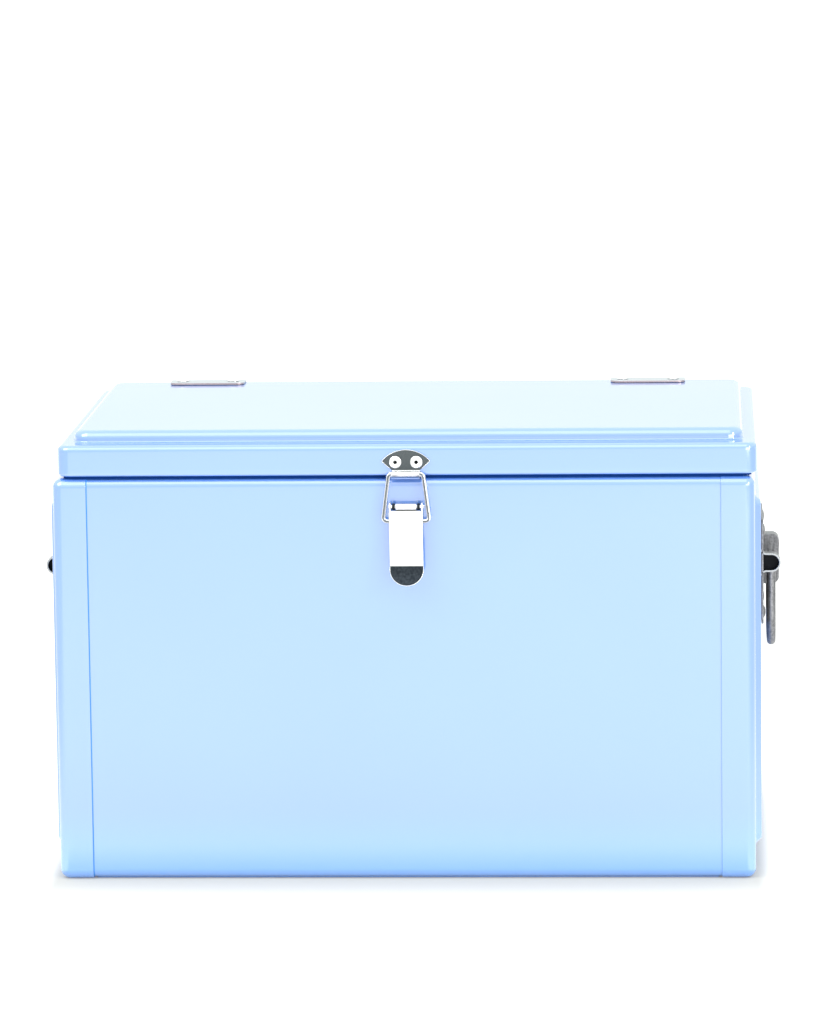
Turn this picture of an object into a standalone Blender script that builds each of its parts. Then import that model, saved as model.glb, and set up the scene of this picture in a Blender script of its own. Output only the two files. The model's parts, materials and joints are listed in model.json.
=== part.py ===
"""Vintage soda cooler chest: a pressed-steel ice box with a hinged lid, a draw latch and two fold-down handles.

Metres, +Z up, front face towards -Y. The origin is on the floor at the middle of the body's footprint.
"""

from math import asin, cos, degrees, pi, radians, sin, sqrt

import bmesh
import bpy
from mathutils import Matrix, Vector

# Driving dimensions
WIDTH = 0.445
DEPTH = 0.280
BODY_TOP = 0.2590
LID_BOTTOM = 0.2605
SKIRT_TOP = 0.2801
LID_TOP = 0.2876
LID_SHIFT = 0.0025
LID_WIDTH = 0.443

SHEET = 0.0006
GAP = 0.0003
STEP = SHEET + GAP
WALL = 0.027

FRONT = -DEPTH / 2
BACK = DEPTH / 2
SIDE = WIDTH / 2

# Body sheet metal
WRAP = 0.0215
BODY_ROUND = 0.006
EMBOSS = 0.004
EMBOSS_SLOPE = 0.005
EMBOSS_HALF_Y = 0.115
EMBOSS_Z = (0.0155, 0.2432)
EMBOSS_CORNER = 0.008
EMBOSS_FILLET = 0.0022

# Lid
LID_CORNER = 0.0075
LID_FILLET = 0.0035
LID_CURL = 0.0020
LID_LIP = 0.006
RAISE_MARGIN_X = 0.0088
RAISE_MARGIN_Y = 0.0165
RAISE_CORNER = 0.0095
RAISE_FILLET = 0.0053
PAN_Z = 0.2640
PAN_SHEET = 0.0018
PLUG_CLEAR = 0.004
PLUG_BOTTOM = 0.2465

# Liner
LINER = 0.002
LINER_FLOOR = 0.030
RIM_INSET = 0.014
CAVITY_ROUND = 0.014

# Hinges
HINGE_X = (-0.1443, 0.1529)
HINGE_LENGTH = 0.050
HINGE_AXIS = (BACK + 0.0030, 0.2570)
LEAF = 0.0012
KNUCKLE = 0.0026
KNUCKLE_BORE = 0.0017
HINGE_PIN = 0.0014
KNUCKLE_THIRD = 0.0166
LEAF_FRONT = 0.101
LEAF_DROP = 0.035
LEAF_CORNER = 0.004
LEAF_NOSE = 0.005
STRAP_FOOT = 0.0011
STRAP_BEND = 0.0022

# Rivets
RIVET_HEAD = 0.0040
RIVET_RISE = 0.0016
RIVET_SHANK = 0.0020
RIVET_HOLE = 0.0024
RIVET_EYE = 0.0010
RIVET_INSET = 0.0077
HANDLE_RIVET_Y = 0.031
HINGE_RIVET_X = 0.017
HINGE_RIVET_Y = 0.111
HINGE_RIVET_Z = 0.2365
BASE_RIVET_Z = (0.2120, 0.2260)

# Draw latch, with p as the distance in front of the body's front plane
LATCH_X = 0.0026
PIVOT = (0.0053, 0.2414)
BAIL_END = (0.0048, 0.2320)
BAIL_BAR = (0.0034, 0.2621)
BAIL_WIRE = 0.00145
BAIL_TOP_HALF = 0.0109
BAIL_LOW_HALF = 0.0148
BAIL_REACH = 0.0096
BAIL_CORNER = 0.0024
LATCH_SHEET = 0.0010
CATCH_HALF = 0.0150
CATCH_WAIST = (0.0087, 0.2640)
HOOK_HALF = 0.0090
HOOK_SHOULDER = 0.2632
HOOK_BEND = 0.0024
HOOK_REACH = 0.0110
CATCH_TOP = 0.2770
CATCH_TIP = 0.2697
CATCH_RIVETS = 0.00665
BASE_HALF = 0.0063
BASE_END = 0.2050
KNUCKLE_OUT = 0.0023
LEVER_HALF = 0.0108
LEVER_TOP = (0.0072, 0.2390)
LEVER_KNEE = (0.0092, 0.2066)
LEVER_CREASE = (0.0097, 0.2051)
LEVER_LIP = (0.0122, 0.1988)
LEVER_END = (0.0158, 0.1922)
LIP_ROUND = 0.0095
PIVOT_PIN = 0.0013
PIVOT_PIN_HALF = 0.0113
PIVOT_BORE = 0.0016
LEVER_EAR = 0.0030
EAR_FLANK = ((0.0074, 0.2385), (0.0084, 0.2190), (0.0060, 0.2210), (0.0020, 0.2280))

# Side handles, with u as the distance out from the embossed panel
HANDLE_Y = 0.010
HANDLE_Z = 0.1860
HANDLE_AXIS_OUT = 0.0074
PLATE = 0.0014
PLATE_HALF_Y = 0.040
PLATE_Z = (0.1447, 0.2140)
PLATE_CORNER = 0.006
EYE_LENGTH = 0.008
EYE_SHEET = 0.0012
EYE_OUT = 0.0137
EYE_NOSE = 0.0056
EYE_FOOT = 0.0030
EYE_LAP = 0.0015
BOSS_OUT = 0.0129
BOSS_Z = (0.1668, 0.1998)
BOSS_HALF_Y = 0.0064
HANDLE_WIRE = 0.0030
LEG_Y = 0.0284
HANDLE_DROP = 0.0551
HANDLE_CORNER = 0.012
HANDLE_BEND = 0.0034
BOSS_ROUND = 0.0045


# Scene and materials

def start_scene():
    for old in list(bpy.data.objects):
        bpy.data.objects.remove(old, do_unlink=True)
    made = []
    for name in ("soda_cooler_chest", "cutters"):
        collection = bpy.data.collections.new(name)
        bpy.context.scene.collection.children.link(collection)
        made.append(collection)
    return made


def material(name, colour, roughness, metallic=0.0):
    made = bpy.data.materials.new(name)
    made.use_nodes = True
    shader = made.node_tree.nodes["Principled BSDF"]
    shader.inputs["Base Color"].default_value = (*colour, 1.0)
    shader.inputs["Roughness"].default_value = roughness
    shader.inputs["Metallic"].default_value = metallic
    return made


PARTS, CUTTERS = start_scene()
PAINT = material("sky_blue_enamel", (0.52, 0.75, 1.0), 0.3)
ZINC = material("zinc_plated_steel", (0.72, 0.74, 0.76), 0.28, 1.0)
GALVANISED = material("galvanised_steel", (0.45, 0.46, 0.47), 0.45, 1.0)
WHITE_PLASTIC = material("white_liner_plastic", (0.90, 0.91, 0.92), 0.4)
FOAM = material("insulation_foam", (0.85, 0.78, 0.55), 0.9)
SEAL = material("grey_seal_rubber", (0.35, 0.36, 0.38), 0.7)


# Mesh helpers

def add(name, mesh, look=None):
    made = bpy.data.objects.new(name, mesh)
    if look:
        mesh.materials.append(look)
        PARTS.objects.link(made)
    else:
        made.hide_render = True
        made.display_type = "WIRE"
        CUTTERS.objects.link(made)
    return made


def to_mesh(name, body):
    bmesh.ops.recalc_face_normals(body, faces=body.faces)
    mesh = bpy.data.meshes.new(name)
    body.to_mesh(mesh)
    body.free()
    return mesh


def block(low, high, rounds=()):
    """A box as a bmesh, with rounds of (width, segments, test of an edge's two ends)."""
    body = bmesh.new()
    bmesh.ops.create_cube(body, size=1.0)
    low, high = Vector(low), Vector(high)
    for corner in body.verts:
        corner.co = Vector(((low[i] + high[i]) / 2 + corner.co[i] * (high[i] - low[i]) for i in range(3)))
    for width, segments, chosen in rounds:
        edges = [e for e in body.edges if chosen(e.verts[0].co, e.verts[1].co)]
        bmesh.ops.bevel(
            body, geom=edges, offset=width, segments=segments, profile=0.5, affect="EDGES",
            clamp_overlap=True,
        )
    return body


def upright(a, b):
    return abs(a.z - b.z) > 1e-5


def at_level(z):
    return lambda a, b: abs(a.z - z) < 1e-6 and abs(b.z - z) < 1e-6


def rounded_slab(low, high, corner, fillet=0.0, curl=0.0, steps=(5, 3)):
    """A box with round upright corners, and optionally a rounded top and bottom rim."""
    rounds = [(corner, steps[0], upright)]
    if fillet:
        rounds.append((fillet, steps[1], at_level(high[2])))
    if curl:
        rounds.append((curl, steps[1], at_level(low[2])))
    return block(low, high, rounds)


def evaluated(target):
    graph = bpy.context.evaluated_depsgraph_get()
    return bpy.data.meshes.new_from_object(target.evaluated_get(graph))


def settle(target):
    """Applies the object's modifiers to its mesh."""
    mesh = evaluated(target)
    target.modifiers.clear()
    target.data = mesh
    return target


def combine(target, others, operation):
    """Joins other objects to a solid or cuts them from it, and removes them."""
    for other in others:
        step = target.modifiers.new(other.name, "BOOLEAN")
        step.operation = operation
        step.object = other
        step.solver = "EXACT"
        settle(target)
        bpy.data.objects.remove(other, do_unlink=True)
    return target


def cut(target, *others):
    return combine(target, others, "DIFFERENCE")


def join(target, *others):
    return combine(target, others, "UNION")


def keep(target, *others):
    return combine(target, others, "INTERSECT")


def publish(solid, name, look):
    """Turns a working solid into a named, visible sub-part."""
    solid.name = name
    CUTTERS.objects.unlink(solid)
    PARTS.objects.link(solid)
    solid.hide_render = False
    solid.display_type = "TEXTURED"
    solid.data.materials.clear()
    solid.data.materials.append(look)
    return smooth(solid)


def cutter(body):
    return add("cutter", to_mesh("cutter", body))


def rod(name, start, end, radius, sides=16, look=None):
    """A plain round bar between two points."""
    start, end = Vector(start), Vector(end)
    body = bmesh.new()
    bmesh.ops.create_cone(
        body, cap_ends=True, segments=sides, radius1=radius, radius2=radius, depth=(end - start).length
    )
    turn = (end - start).to_track_quat("Z", "Y").to_matrix().to_4x4()
    bmesh.ops.transform(body, matrix=Matrix.Translation((start + end) / 2) @ turn, verts=body.verts)
    return add(name, to_mesh(name, body), look)


def arc(centre, radius, start, end, count):
    """Points on a circular arc in a plane, angles in degrees."""
    angles = [radians(start + (end - start) * i / count) for i in range(count + 1)]
    return [(centre[0] + radius * cos(a), centre[1] + radius * sin(a)) for a in angles]


def outline(name, points, place, thickness, look=None):
    """A flat plate from a closed outline. place(a, b, t) gives the point at outline (a, b) and depth t."""
    body = bmesh.new()
    ring = [body.verts.new(place(a, b, 0.0)) for a, b in points]
    face = body.faces.new(ring)
    step = Vector(place(0.0, 0.0, thickness)) - Vector(place(0.0, 0.0, 0.0))
    raised = bmesh.ops.extrude_face_region(body, geom=[face])["geom"]
    bmesh.ops.translate(body, vec=step, verts=[v for v in raised if isinstance(v, bmesh.types.BMVert)])
    return add(name, to_mesh(name, body), look)


def strip(name, points, place, width, thickness, look=None):
    """Bent sheet: a centre line (a, b) swept along t by width, then thickened evenly by Solidify."""
    body = bmesh.new()
    rows = [[body.verts.new(place(a, b, t)) for t in (-width / 2, width / 2)] for a, b in points]
    for one, two in zip(rows, rows[1:]):
        body.faces.new((one[0], one[1], two[1], two[0]))
    made = add(name, to_mesh(name, body), look)
    solid = made.modifiers.new("thickness", "SOLIDIFY")
    solid.thickness = thickness
    solid.offset = 0.0
    solid.use_even_offset = True
    settle(made)
    body = bmesh.new()
    body.from_mesh(made.data)
    bmesh.ops.recalc_face_normals(body, faces=body.faces)
    body.to_mesh(made.data)
    body.free()
    return made


def rounded_path(points, radius, count=4):
    """A path through 3D points with its inner corners replaced by arcs."""
    points = [Vector(p) for p in points]
    path = [points[0]]
    for before, corner, after in zip(points, points[1:], points[2:]):
        one, two = (before - corner).normalized(), (after - corner).normalized()
        half = one.angle(two) / 2
        room = 0.49 * min((before - corner).length, (after - corner).length)
        reach = min(radius * cos(half) / sin(half), room)
        inner = reach * sin(half) / cos(half)
        centre = corner + (one + two).normalized() * sqrt(reach * reach + inner * inner)
        start, end = corner + one * reach - centre, corner + two * reach - centre
        for i in range(count + 1):
            path.append(centre + start.normalized().slerp(end.normalized(), i / count) * inner)
    path.append(points[-1])
    return path


def wire(name, points, radius, look):
    """A round wire along a path, as a mesh with closed ends."""
    curve = bpy.data.curves.new(name, "CURVE")
    curve.dimensions = "3D"
    curve.bevel_depth = radius
    curve.bevel_resolution = 3
    curve.use_fill_caps = True
    spline = curve.splines.new("POLY")
    spline.points.add(len(points) - 1)
    for point, place in zip(spline.points, points):
        point.co = (*place, 1.0)
    guide = add(name + "_path", curve)
    bpy.context.view_layer.update()
    mesh = evaluated(guide)
    bpy.data.objects.remove(guide, do_unlink=True)
    body = bmesh.new()
    body.from_mesh(mesh)
    bmesh.ops.remove_doubles(body, verts=body.verts, dist=1e-6)
    made = to_mesh(name, body)
    return add(name, made, look)


def turned(profile, sides=10):
    """A turned solid about +Z from (radius, height) points that run from the top of the axis to its bottom."""
    body = bmesh.new()
    points = [body.verts.new((r, 0.0, z)) for r, z in profile]
    edges = [body.edges.new(pair) for pair in zip(points, points[1:])]
    bmesh.ops.spin(
        body, geom=points + edges, cent=(0, 0, 0), axis=(0, 0, 1), angle=2 * pi, steps=sides, use_merge=True
    )
    bmesh.ops.remove_doubles(body, verts=body.verts, dist=1e-6)
    return body


def rivet_profile(length):
    return [
        (0.0, RIVET_RISE * 0.25),
        (RIVET_EYE, RIVET_RISE * 0.25),
        (RIVET_EYE, RIVET_RISE),
        (RIVET_HEAD * 0.75, RIVET_RISE * 0.75),
        (RIVET_HEAD, 0.0),
        (RIVET_SHANK, 0.0),
        (RIVET_SHANK, -length),
        (0.0, -length),
    ]


def rivets(name, places, outward, length, look=ZINC):
    """Equal blind rivets, each its own numbered object, with their heads standing on the given points."""
    turn = Vector(outward).to_track_quat("Z", "Y").to_matrix().to_4x4()
    for number, place in enumerate(places, 1):
        one = turned(rivet_profile(length))
        bmesh.ops.transform(one, matrix=Matrix.Translation(place) @ turn, verts=one.verts)
        title = f"{name}_{number}"
        smooth(add(title, to_mesh(title, one), look))


def rivet_holes(places, outward, depth=0.004):
    outward = Vector(outward)
    return [
        rod("hole", Vector(p) + outward * 0.001, Vector(p) - outward * depth, RIVET_HOLE, 12) for p in places
    ]


def smooth(target, angle=35):
    target.data.shade_smooth()
    target.data.set_sharp_from_angle(angle=radians(angle))
    return target


def set_origin(target, point):
    """Moves the object's origin to a point on its joint's axis, leaving the shape in place."""
    target.data.transform(Matrix.Translation(-Vector(point)))
    target.location = point


# Places of the fasteners

def hinge_top_rivets():
    seat = LID_TOP + GAP + LEAF + GAP
    return [(x + s * HINGE_RIVET_X, HINGE_RIVET_Y, seat) for x in HINGE_X for s in (-1, 1)]


def hinge_back_rivets():
    face = BACK - STEP + GAP + LEAF + GAP
    return [(x + s * HINGE_RIVET_X, face, HINGE_RIVET_Z) for x in HINGE_X for s in (-1, 1)]


def catch_rivet_places():
    face = FRONT - GAP - LATCH_SHEET - GAP
    return [(LATCH_X + s * CATCH_RIVETS, face, CATCH_TIP - 0.0004) for s in (-1, 1)]


def base_rivet_places():
    face = FRONT + STEP - GAP - LATCH_SHEET - GAP
    return [(LATCH_X, face, z) for z in BASE_RIVET_Z]


def handle_rivet_places(side):
    face = side * (SIDE + EMBOSS + GAP + PLATE + GAP)
    rows = (PLATE_Z[0] + RIVET_INSET, PLATE_Z[1] - RIVET_INSET)
    return [(face, HANDLE_Y + s * HANDLE_RIVET_Y, z) for s in (-1, 1) for z in rows]


# Body

def tray(side, inset, reach):
    """A solid end tray: the body's rounded end with its embossed panel, shrunk evenly by inset."""
    low, high = sorted((side * (SIDE - inset), side * (SIDE - reach)))
    rounding = BODY_ROUND - inset
    face = side * (SIDE - inset)

    def rim(a, b):
        along = abs(a.x - b.x) > 1e-5
        on_face = abs(a.x - face) < 1e-6 and abs(b.x - face) < 1e-6
        return along or on_face

    solid = block(
        (low, FRONT + inset, inset), (high, BACK - inset, BODY_TOP - inset), [(rounding, 5, rim)]
    )
    base = add("tray", to_mesh("tray", solid))
    out = EMBOSS + 0.001
    raised = block((-1, -1, -1), (1, 1, 1))
    for corner in raised.verts:
        outer = corner.co.x * side > 0
        shrink = (EMBOSS_SLOPE if outer else -EMBOSS_SLOPE * 0.25) + inset
        corner.co.y = (EMBOSS_HALF_Y - shrink) * (1 if corner.co.y > 0 else -1)
        corner.co.z = EMBOSS_Z[1] - shrink if corner.co.z > 0 else EMBOSS_Z[0] + shrink
        corner.co.x = side * (SIDE - inset + (EMBOSS if outer else EMBOSS - out))
    level = side * (SIDE - inset + EMBOSS)
    slanted = [e for e in raised.edges if abs(e.verts[0].co.x - e.verts[1].co.x) > 1e-5]
    bmesh.ops.bevel(raised, geom=slanted, offset=EMBOSS_CORNER, segments=5, profile=0.5, affect="EDGES")
    rim_edges = [e for e in raised.edges if all(abs(v.co.x - level) < 1e-6 for v in e.verts)]
    bmesh.ops.bevel(raised, geom=rim_edges, offset=EMBOSS_FILLET, segments=3, profile=0.5, affect="EDGES")
    return join(base, cutter(raised))


def end_cap(side, name):
    """Pressed end panel: a shallow tray that wraps onto the front, back, top and bottom."""
    cap = tray(side, 0.0, WRAP)
    cut(cap, tray(side, SHEET, WRAP + 0.01))
    cut(cap, *rivet_holes(handle_rivet_places(side), (side, 0, 0)))
    publish(cap, name, PAINT)


def channel(name, facing):
    """Front or back panel: one sheet with rounded top and bottom edges turned inwards."""
    outer = DEPTH / 2 - STEP - SHEET / 2
    top, bottom = BODY_TOP - STEP - SHEET / 2, STEP + SHEET / 2
    bend = BODY_ROUND - STEP - SHEET / 2
    flange = DEPTH / 2 - WRAP
    line = [(-flange, top)] + arc((-outer + bend, top - bend), bend, 90, 180, 5)
    line += arc((-outer + bend, bottom + bend), bend, 180, 270, 5) + [(-flange, bottom)]
    width = WIDTH - 2 * (BODY_ROUND + 0.001)
    return strip(name, line, lambda a, b, t: (t, -facing * a, b), width, SHEET, PAINT)


def body_shell():
    end_cap(-1, "end_cap_left")
    end_cap(1, "end_cap_right")
    front = channel("front_panel", -1)
    cut(front, *rivet_holes(base_rivet_places(), (0, -1, 0)))
    back = channel("back_panel", 1)
    cut(back, *rivet_holes(hinge_back_rivets(), (0, 1, 0)))
    smooth(front)
    smooth(back)
    pan = rounded_slab(
        (-SIDE + WRAP + STEP, FRONT + 0.0065, 0.0), (SIDE - WRAP - STEP, BACK - 0.0065, SHEET), 0.003
    )
    add("base_pan", to_mesh("base_pan", pan), PAINT)


def liner_and_foam():
    half_x, half_y = SIDE - WALL, DEPTH / 2 - WALL
    rim_top = BODY_TOP + 2 * GAP + 0.0012
    rim = rounded_slab(
        (-SIDE + RIM_INSET, FRONT + RIM_INSET, BODY_TOP + GAP), (SIDE - RIM_INSET, BACK - RIM_INSET, rim_top),
        0.010,
    )
    tub = add("liner_tub", to_mesh("liner_tub", rim), WHITE_PLASTIC)
    outer = rounded_slab(
        (-half_x - LINER, -half_y - LINER, LINER_FLOOR - LINER),
        (half_x + LINER, half_y + LINER, rim_top - 0.0004),
        CAVITY_ROUND + LINER,
        curl=0.008 + LINER,
    )
    join(tub, cutter(outer))
    inner = rounded_slab(
        (-half_x, -half_y, LINER_FLOOR), (half_x, half_y, rim_top + 0.01), CAVITY_ROUND, curl=0.008
    )
    smooth(cut(tub, cutter(inner)))
    side = DEPTH / 2 - STEP - SHEET - GAP - 0.0002
    low, high = STEP + SHEET + 0.0005, BODY_TOP - STEP - SHEET - 0.0005
    foam = rounded_slab(
        (-SIDE + SHEET + 0.0008, -side, low), (SIDE - SHEET - 0.0008, side, high), 0.006,
        fillet=0.005, curl=0.005, steps=(3, 2),
    )
    foam = add("body_foam", to_mesh("body_foam", foam), FOAM)
    extra = LINER + 0.0004
    hollow = rounded_slab(
        (-half_x - extra, -half_y - extra, LINER_FLOOR - extra),
        (half_x + extra, half_y + extra, BODY_TOP + 0.01), CAVITY_ROUND + extra, curl=0.008 + LINER,
    )
    cut(foam, cutter(hollow))


# Lid

def lid_solid(inset, bottom, corner, fillet, curl, steps=(5, 3)):
    """The lid's outer form, shrunk evenly by inset: a rounded slab with a raised centre panel."""
    half = LID_WIDTH / 2 - inset
    slab = rounded_slab(
        (LID_SHIFT - half, FRONT + inset, bottom), (LID_SHIFT + half, BACK - inset, SKIRT_TOP - inset),
        corner, fillet, curl, steps,
    )
    base = add("lid", to_mesh("lid", slab))
    half -= RAISE_MARGIN_X
    edge = DEPTH / 2 - inset - RAISE_MARGIN_Y
    raised = rounded_slab(
        (LID_SHIFT - half, -edge, SKIRT_TOP - inset - 0.003), (LID_SHIFT + half, edge, LID_TOP - inset),
        RAISE_CORNER, RAISE_FILLET, steps=steps,
    )
    return join(base, cutter(raised))


def lid_shell():
    """Pressed lid with a raised panel, a skirt, and a bottom edge turned inwards."""
    shell = lid_solid(0.0, LID_BOTTOM, LID_CORNER, LID_FILLET, LID_CURL)
    cut(shell, lid_solid(SHEET, LID_BOTTOM + SHEET, LID_CORNER - SHEET, LID_FILLET - SHEET, LID_CURL - SHEET))
    half = LID_WIDTH / 2 - LID_LIP
    mouth = rounded_slab(
        (LID_SHIFT - half, FRONT + LID_LIP, LID_BOTTOM - 0.005),
        (LID_SHIFT + half, BACK - LID_LIP, LID_BOTTOM + 0.005), 0.003,
    )
    cut(shell, cutter(mouth))
    cut(shell, *rivet_holes(hinge_top_rivets(), (0, 0, 1)))
    cut(shell, *rivet_holes(catch_rivet_places(), (0, -1, 0)))
    publish(shell, "lid_shell", PAINT)


def lid_inside():
    half_x, half_y = SIDE - WALL - PLUG_CLEAR, DEPTH / 2 - WALL - PLUG_CLEAR
    edge = SHEET + 0.0010
    half = LID_WIDTH / 2 - edge
    pan = rounded_slab(
        (LID_SHIFT - half, FRONT + edge, PAN_Z), (LID_SHIFT + half, BACK - edge, PAN_Z + PAN_SHEET), 0.006
    )
    pan = add("lid_liner", to_mesh("lid_liner", pan), WHITE_PLASTIC)
    plug = rounded_slab(
        (-half_x, -half_y, PLUG_BOTTOM), (half_x, half_y, PAN_Z + PAN_SHEET * 0.7), 0.012, curl=0.004
    )
    join(pan, cutter(plug))
    hollow = rounded_slab(
        (-half_x + PAN_SHEET, -half_y + PAN_SHEET, PLUG_BOTTOM + PAN_SHEET),
        (half_x - PAN_SHEET, half_y - PAN_SHEET, PAN_Z + 0.01), 0.010, curl=0.003,
    )
    smooth(cut(pan, cutter(hollow)))
    base = PAN_Z + PAN_SHEET + 0.0004
    foam = lid_solid(SHEET + 0.0008, base, 0.006, 0.002, 0.0, steps=(2, 1))
    below = rounded_slab(
        (-half_x + PAN_SHEET + 0.0006, -half_y + PAN_SHEET + 0.0006, PLUG_BOTTOM + PAN_SHEET + 0.0006),
        (half_x - PAN_SHEET - 0.0006, half_y - PAN_SHEET - 0.0006, base + 0.004), 0.012, curl=0.003,
        steps=(3, 1),
    )
    join(foam, cutter(below))
    cut(foam, *rivet_holes(hinge_top_rivets(), (0, 0, 1), 0.006))
    cut(foam, *rivet_holes(catch_rivet_places(), (0, -1, 0), 0.006))
    publish(foam, "lid_foam", FOAM)
    seal_low = BODY_TOP + 2 * GAP + 0.0012 + GAP
    half_x, half_y = SIDE - WALL + 0.0095, DEPTH / 2 - WALL + 0.0095
    seal = rounded_slab(
        (-half_x, -half_y, seal_low), (half_x, half_y, PAN_Z - GAP), 0.012, curl=0.0015
    )
    seal = add("lid_seal", to_mesh("lid_seal", seal), SEAL)
    hole = rounded_slab(
        (-half_x + 0.006, -half_y + 0.006, 0.25), (half_x - 0.006, half_y - 0.006, 0.28), 0.008
    )
    smooth(cut(seal, cutter(hole)))


# Hinges

def hinge(x, word):
    """A riveted butt hinge whose upper leaf is bent over the lid's rear margin and down its back."""
    axis_y, axis_z = HINGE_AXIS
    third = KNUCKLE_THIRD
    half = HINGE_LENGTH / 2

    def place(a, b, t):
        return (x + t, a, b)

    def tube(name, low, high):
        return rod(name, (x + low, axis_y, axis_z), (x + high, axis_y, axis_z), KNUCKLE, 20)

    bore = ((x - 0.03, axis_y, axis_z), (x + 0.03, axis_y, axis_z), KNUCKLE_BORE, 16)
    low_leaf = BACK - STEP + GAP + LEAF / 2
    body_leaf = outline(
        "hinge_body_leaf_" + word,
        [(-half, axis_z)] + arc((LEAF_CORNER - half, axis_z - LEAF_DROP), LEAF_CORNER, 180, 270, 4)
        + arc((half - LEAF_CORNER, axis_z - LEAF_DROP), LEAF_CORNER, 270, 360, 4) + [(half, axis_z)],
        lambda a, b, t: (x + a, low_leaf - LEAF / 2 + t, b), LEAF, ZINC,
    )
    notch_half, notch_low = third / 2 + GAP, axis_z - 0.0042
    notch = block((x - notch_half, BACK - 0.01, notch_low), (x + notch_half, BACK + 0.01, LID_TOP))
    cut(body_leaf, cutter(notch))
    join(body_leaf, tube("knuckle", -half, -third / 2 - GAP), tube("knuckle", third / 2 + GAP, half))
    cut(body_leaf, rod("bore", *bore))
    cut(body_leaf, *rivet_holes([p for p in hinge_back_rivets() if abs(p[0] - x) < 0.03], (0, 1, 0)))
    smooth(body_leaf)

    rise = LID_TOP + GAP + LEAF / 2
    shelf = SKIRT_TOP + GAP + LEAF / 2
    edge = DEPTH / 2 - RAISE_MARGIN_Y + GAP + LEAF / 2
    rear = BACK + GAP + LEAF / 2
    line = [(LEAF_FRONT, rise)]
    crest = RAISE_FILLET + GAP + LEAF / 2
    line += arc((edge - crest, rise - crest), crest, 90, 0, 5)
    line += arc((edge + STRAP_FOOT, shelf + STRAP_FOOT), STRAP_FOOT, 180, 270, 4)
    line += arc((rear - STRAP_BEND, shelf - STRAP_BEND), STRAP_BEND, 90, 0, 4)
    line += [(rear, axis_z + 0.0008)]
    lid_leaf = strip("hinge_lid_leaf_" + word, line, place, HINGE_LENGTH, LEAF, ZINC)
    for s in (-1, 1):
        corner = block(
            (x + min(s * (third / 2), s * 0.03), BACK - 0.002, axis_z - 0.01),
            (x + max(s * (third / 2), s * 0.03), BACK + 0.004, axis_z + KNUCKLE + 0.0008),
        )
        cut(lid_leaf, cutter(corner))
    nose = outline(
        "nose",
        arc((LEAF_NOSE - half, LEAF_FRONT + LEAF_NOSE), LEAF_NOSE, 180, 270, 5)
        + arc((half - LEAF_NOSE, LEAF_FRONT + LEAF_NOSE), LEAF_NOSE, 270, 360, 5)
        + [(half, 0.16), (-half, 0.16)],
        lambda a, b, t: (x + a, b, 0.24 + t), 0.06,
    )
    keep(lid_leaf, nose)
    join(lid_leaf, tube("knuckle", -third / 2, third / 2))
    cut(lid_leaf, rod("bore", *bore))
    cut(lid_leaf, *rivet_holes([p for p in hinge_top_rivets() if abs(p[0] - x) < 0.03], (0, 0, 1), 0.003))
    smooth(lid_leaf)
    pin = rod("hinge_pin_" + word, (x - half - 0.0006, axis_y, axis_z), (x + half + 0.0006, axis_y, axis_z),
              HINGE_PIN, 16, ZINC)
    smooth(pin)


# Latch

def latch_place(a, b, t):
    return (LATCH_X + t, FRONT - a, b)


def face_place(a, b, t):
    return (LATCH_X + a, FRONT - t, b)


def catch():
    """Fan-shaped catch on the lid's skirt, its lower edge bent out into an upturned hook."""
    reach = sqrt((PIVOT[0] - BAIL_END[0]) ** 2 + (PIVOT[1] - BAIL_END[1]) ** 2)
    centre = (BAIL_BAR[0] + PIVOT[0] - BAIL_END[0], BAIL_BAR[1] + PIVOT[1] - BAIL_END[1])
    radius = reach + BAIL_WIRE + GAP + LATCH_SHEET / 2
    plate = GAP + LATCH_SHEET / 2
    low = centre[1] - radius
    end = -90 + degrees((BAIL_BAR[0] + HOOK_REACH - centre[0]) / radius)
    line = [(plate, CATCH_TOP + 0.001)]
    line += arc((plate + HOOK_BEND, low + HOOK_BEND + 0.0001), HOOK_BEND, 180, 262, 5)
    line += arc(centre, radius, -90, end, 8)
    sheet = strip("catch_plate", line, latch_place, 2 * CATCH_HALF + 0.002, LATCH_SHEET, ZINC)
    sagitta = CATCH_TOP - CATCH_TIP
    crown = (CATCH_HALF ** 2 + sagitta ** 2) / (2 * sagitta)
    spread = degrees(asin(CATCH_HALF / crown))
    top = arc((0.0, CATCH_TOP - crown), crown, 90 - spread, 90 + spread, 10)
    waist, waist_z = CATCH_WAIST
    shape = top + [
        (-waist, waist_z), (-HOOK_HALF, HOOK_SHOULDER), (-HOOK_HALF, low - 0.01), (HOOK_HALF, low - 0.01),
        (HOOK_HALF, HOOK_SHOULDER), (waist, waist_z),
    ]
    keep(sheet, outline("fan", shape, lambda a, b, t: face_place(a, b, t - 0.01), 0.03))
    cut(sheet, *rivet_holes(catch_rivet_places(), (0, -1, 0), 0.0025))
    smooth(sheet)


def latch_base():
    """Riveted base with the rolled knuckle that carries the lever's pivot pin."""
    face = -STEP + GAP + LATCH_SHEET / 2
    out, height = PIVOT
    line = [(face, BASE_END), (face, height - 0.0054), (face + 0.0010, height - 0.0038)]
    line += [(face + 0.0030, height - 0.0022), (out - 0.0006, height - 0.0017)]
    base = strip("latch_base", line, latch_place, 2 * BASE_HALF, LATCH_SHEET, ZINC)
    reach = BASE_HALF + GAP
    join(base, rod("knuckle", latch_place(*PIVOT, -reach), latch_place(*PIVOT, reach), KNUCKLE_OUT, 20))
    cut(base, rod("bore", latch_place(*PIVOT, -0.02), latch_place(*PIVOT, 0.02), PIVOT_BORE, 16))
    cut(base, *rivet_holes(base_rivet_places(), (0, -1, 0), 0.0025))
    smooth(base)
    pin = rod(
        "latch_pivot_pin", latch_place(*PIVOT, -PIVOT_PIN_HALF), latch_place(*PIVOT, PIVOT_PIN_HALF),
        PIVOT_PIN, 16, ZINC,
    )
    smooth(pin)


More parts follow.
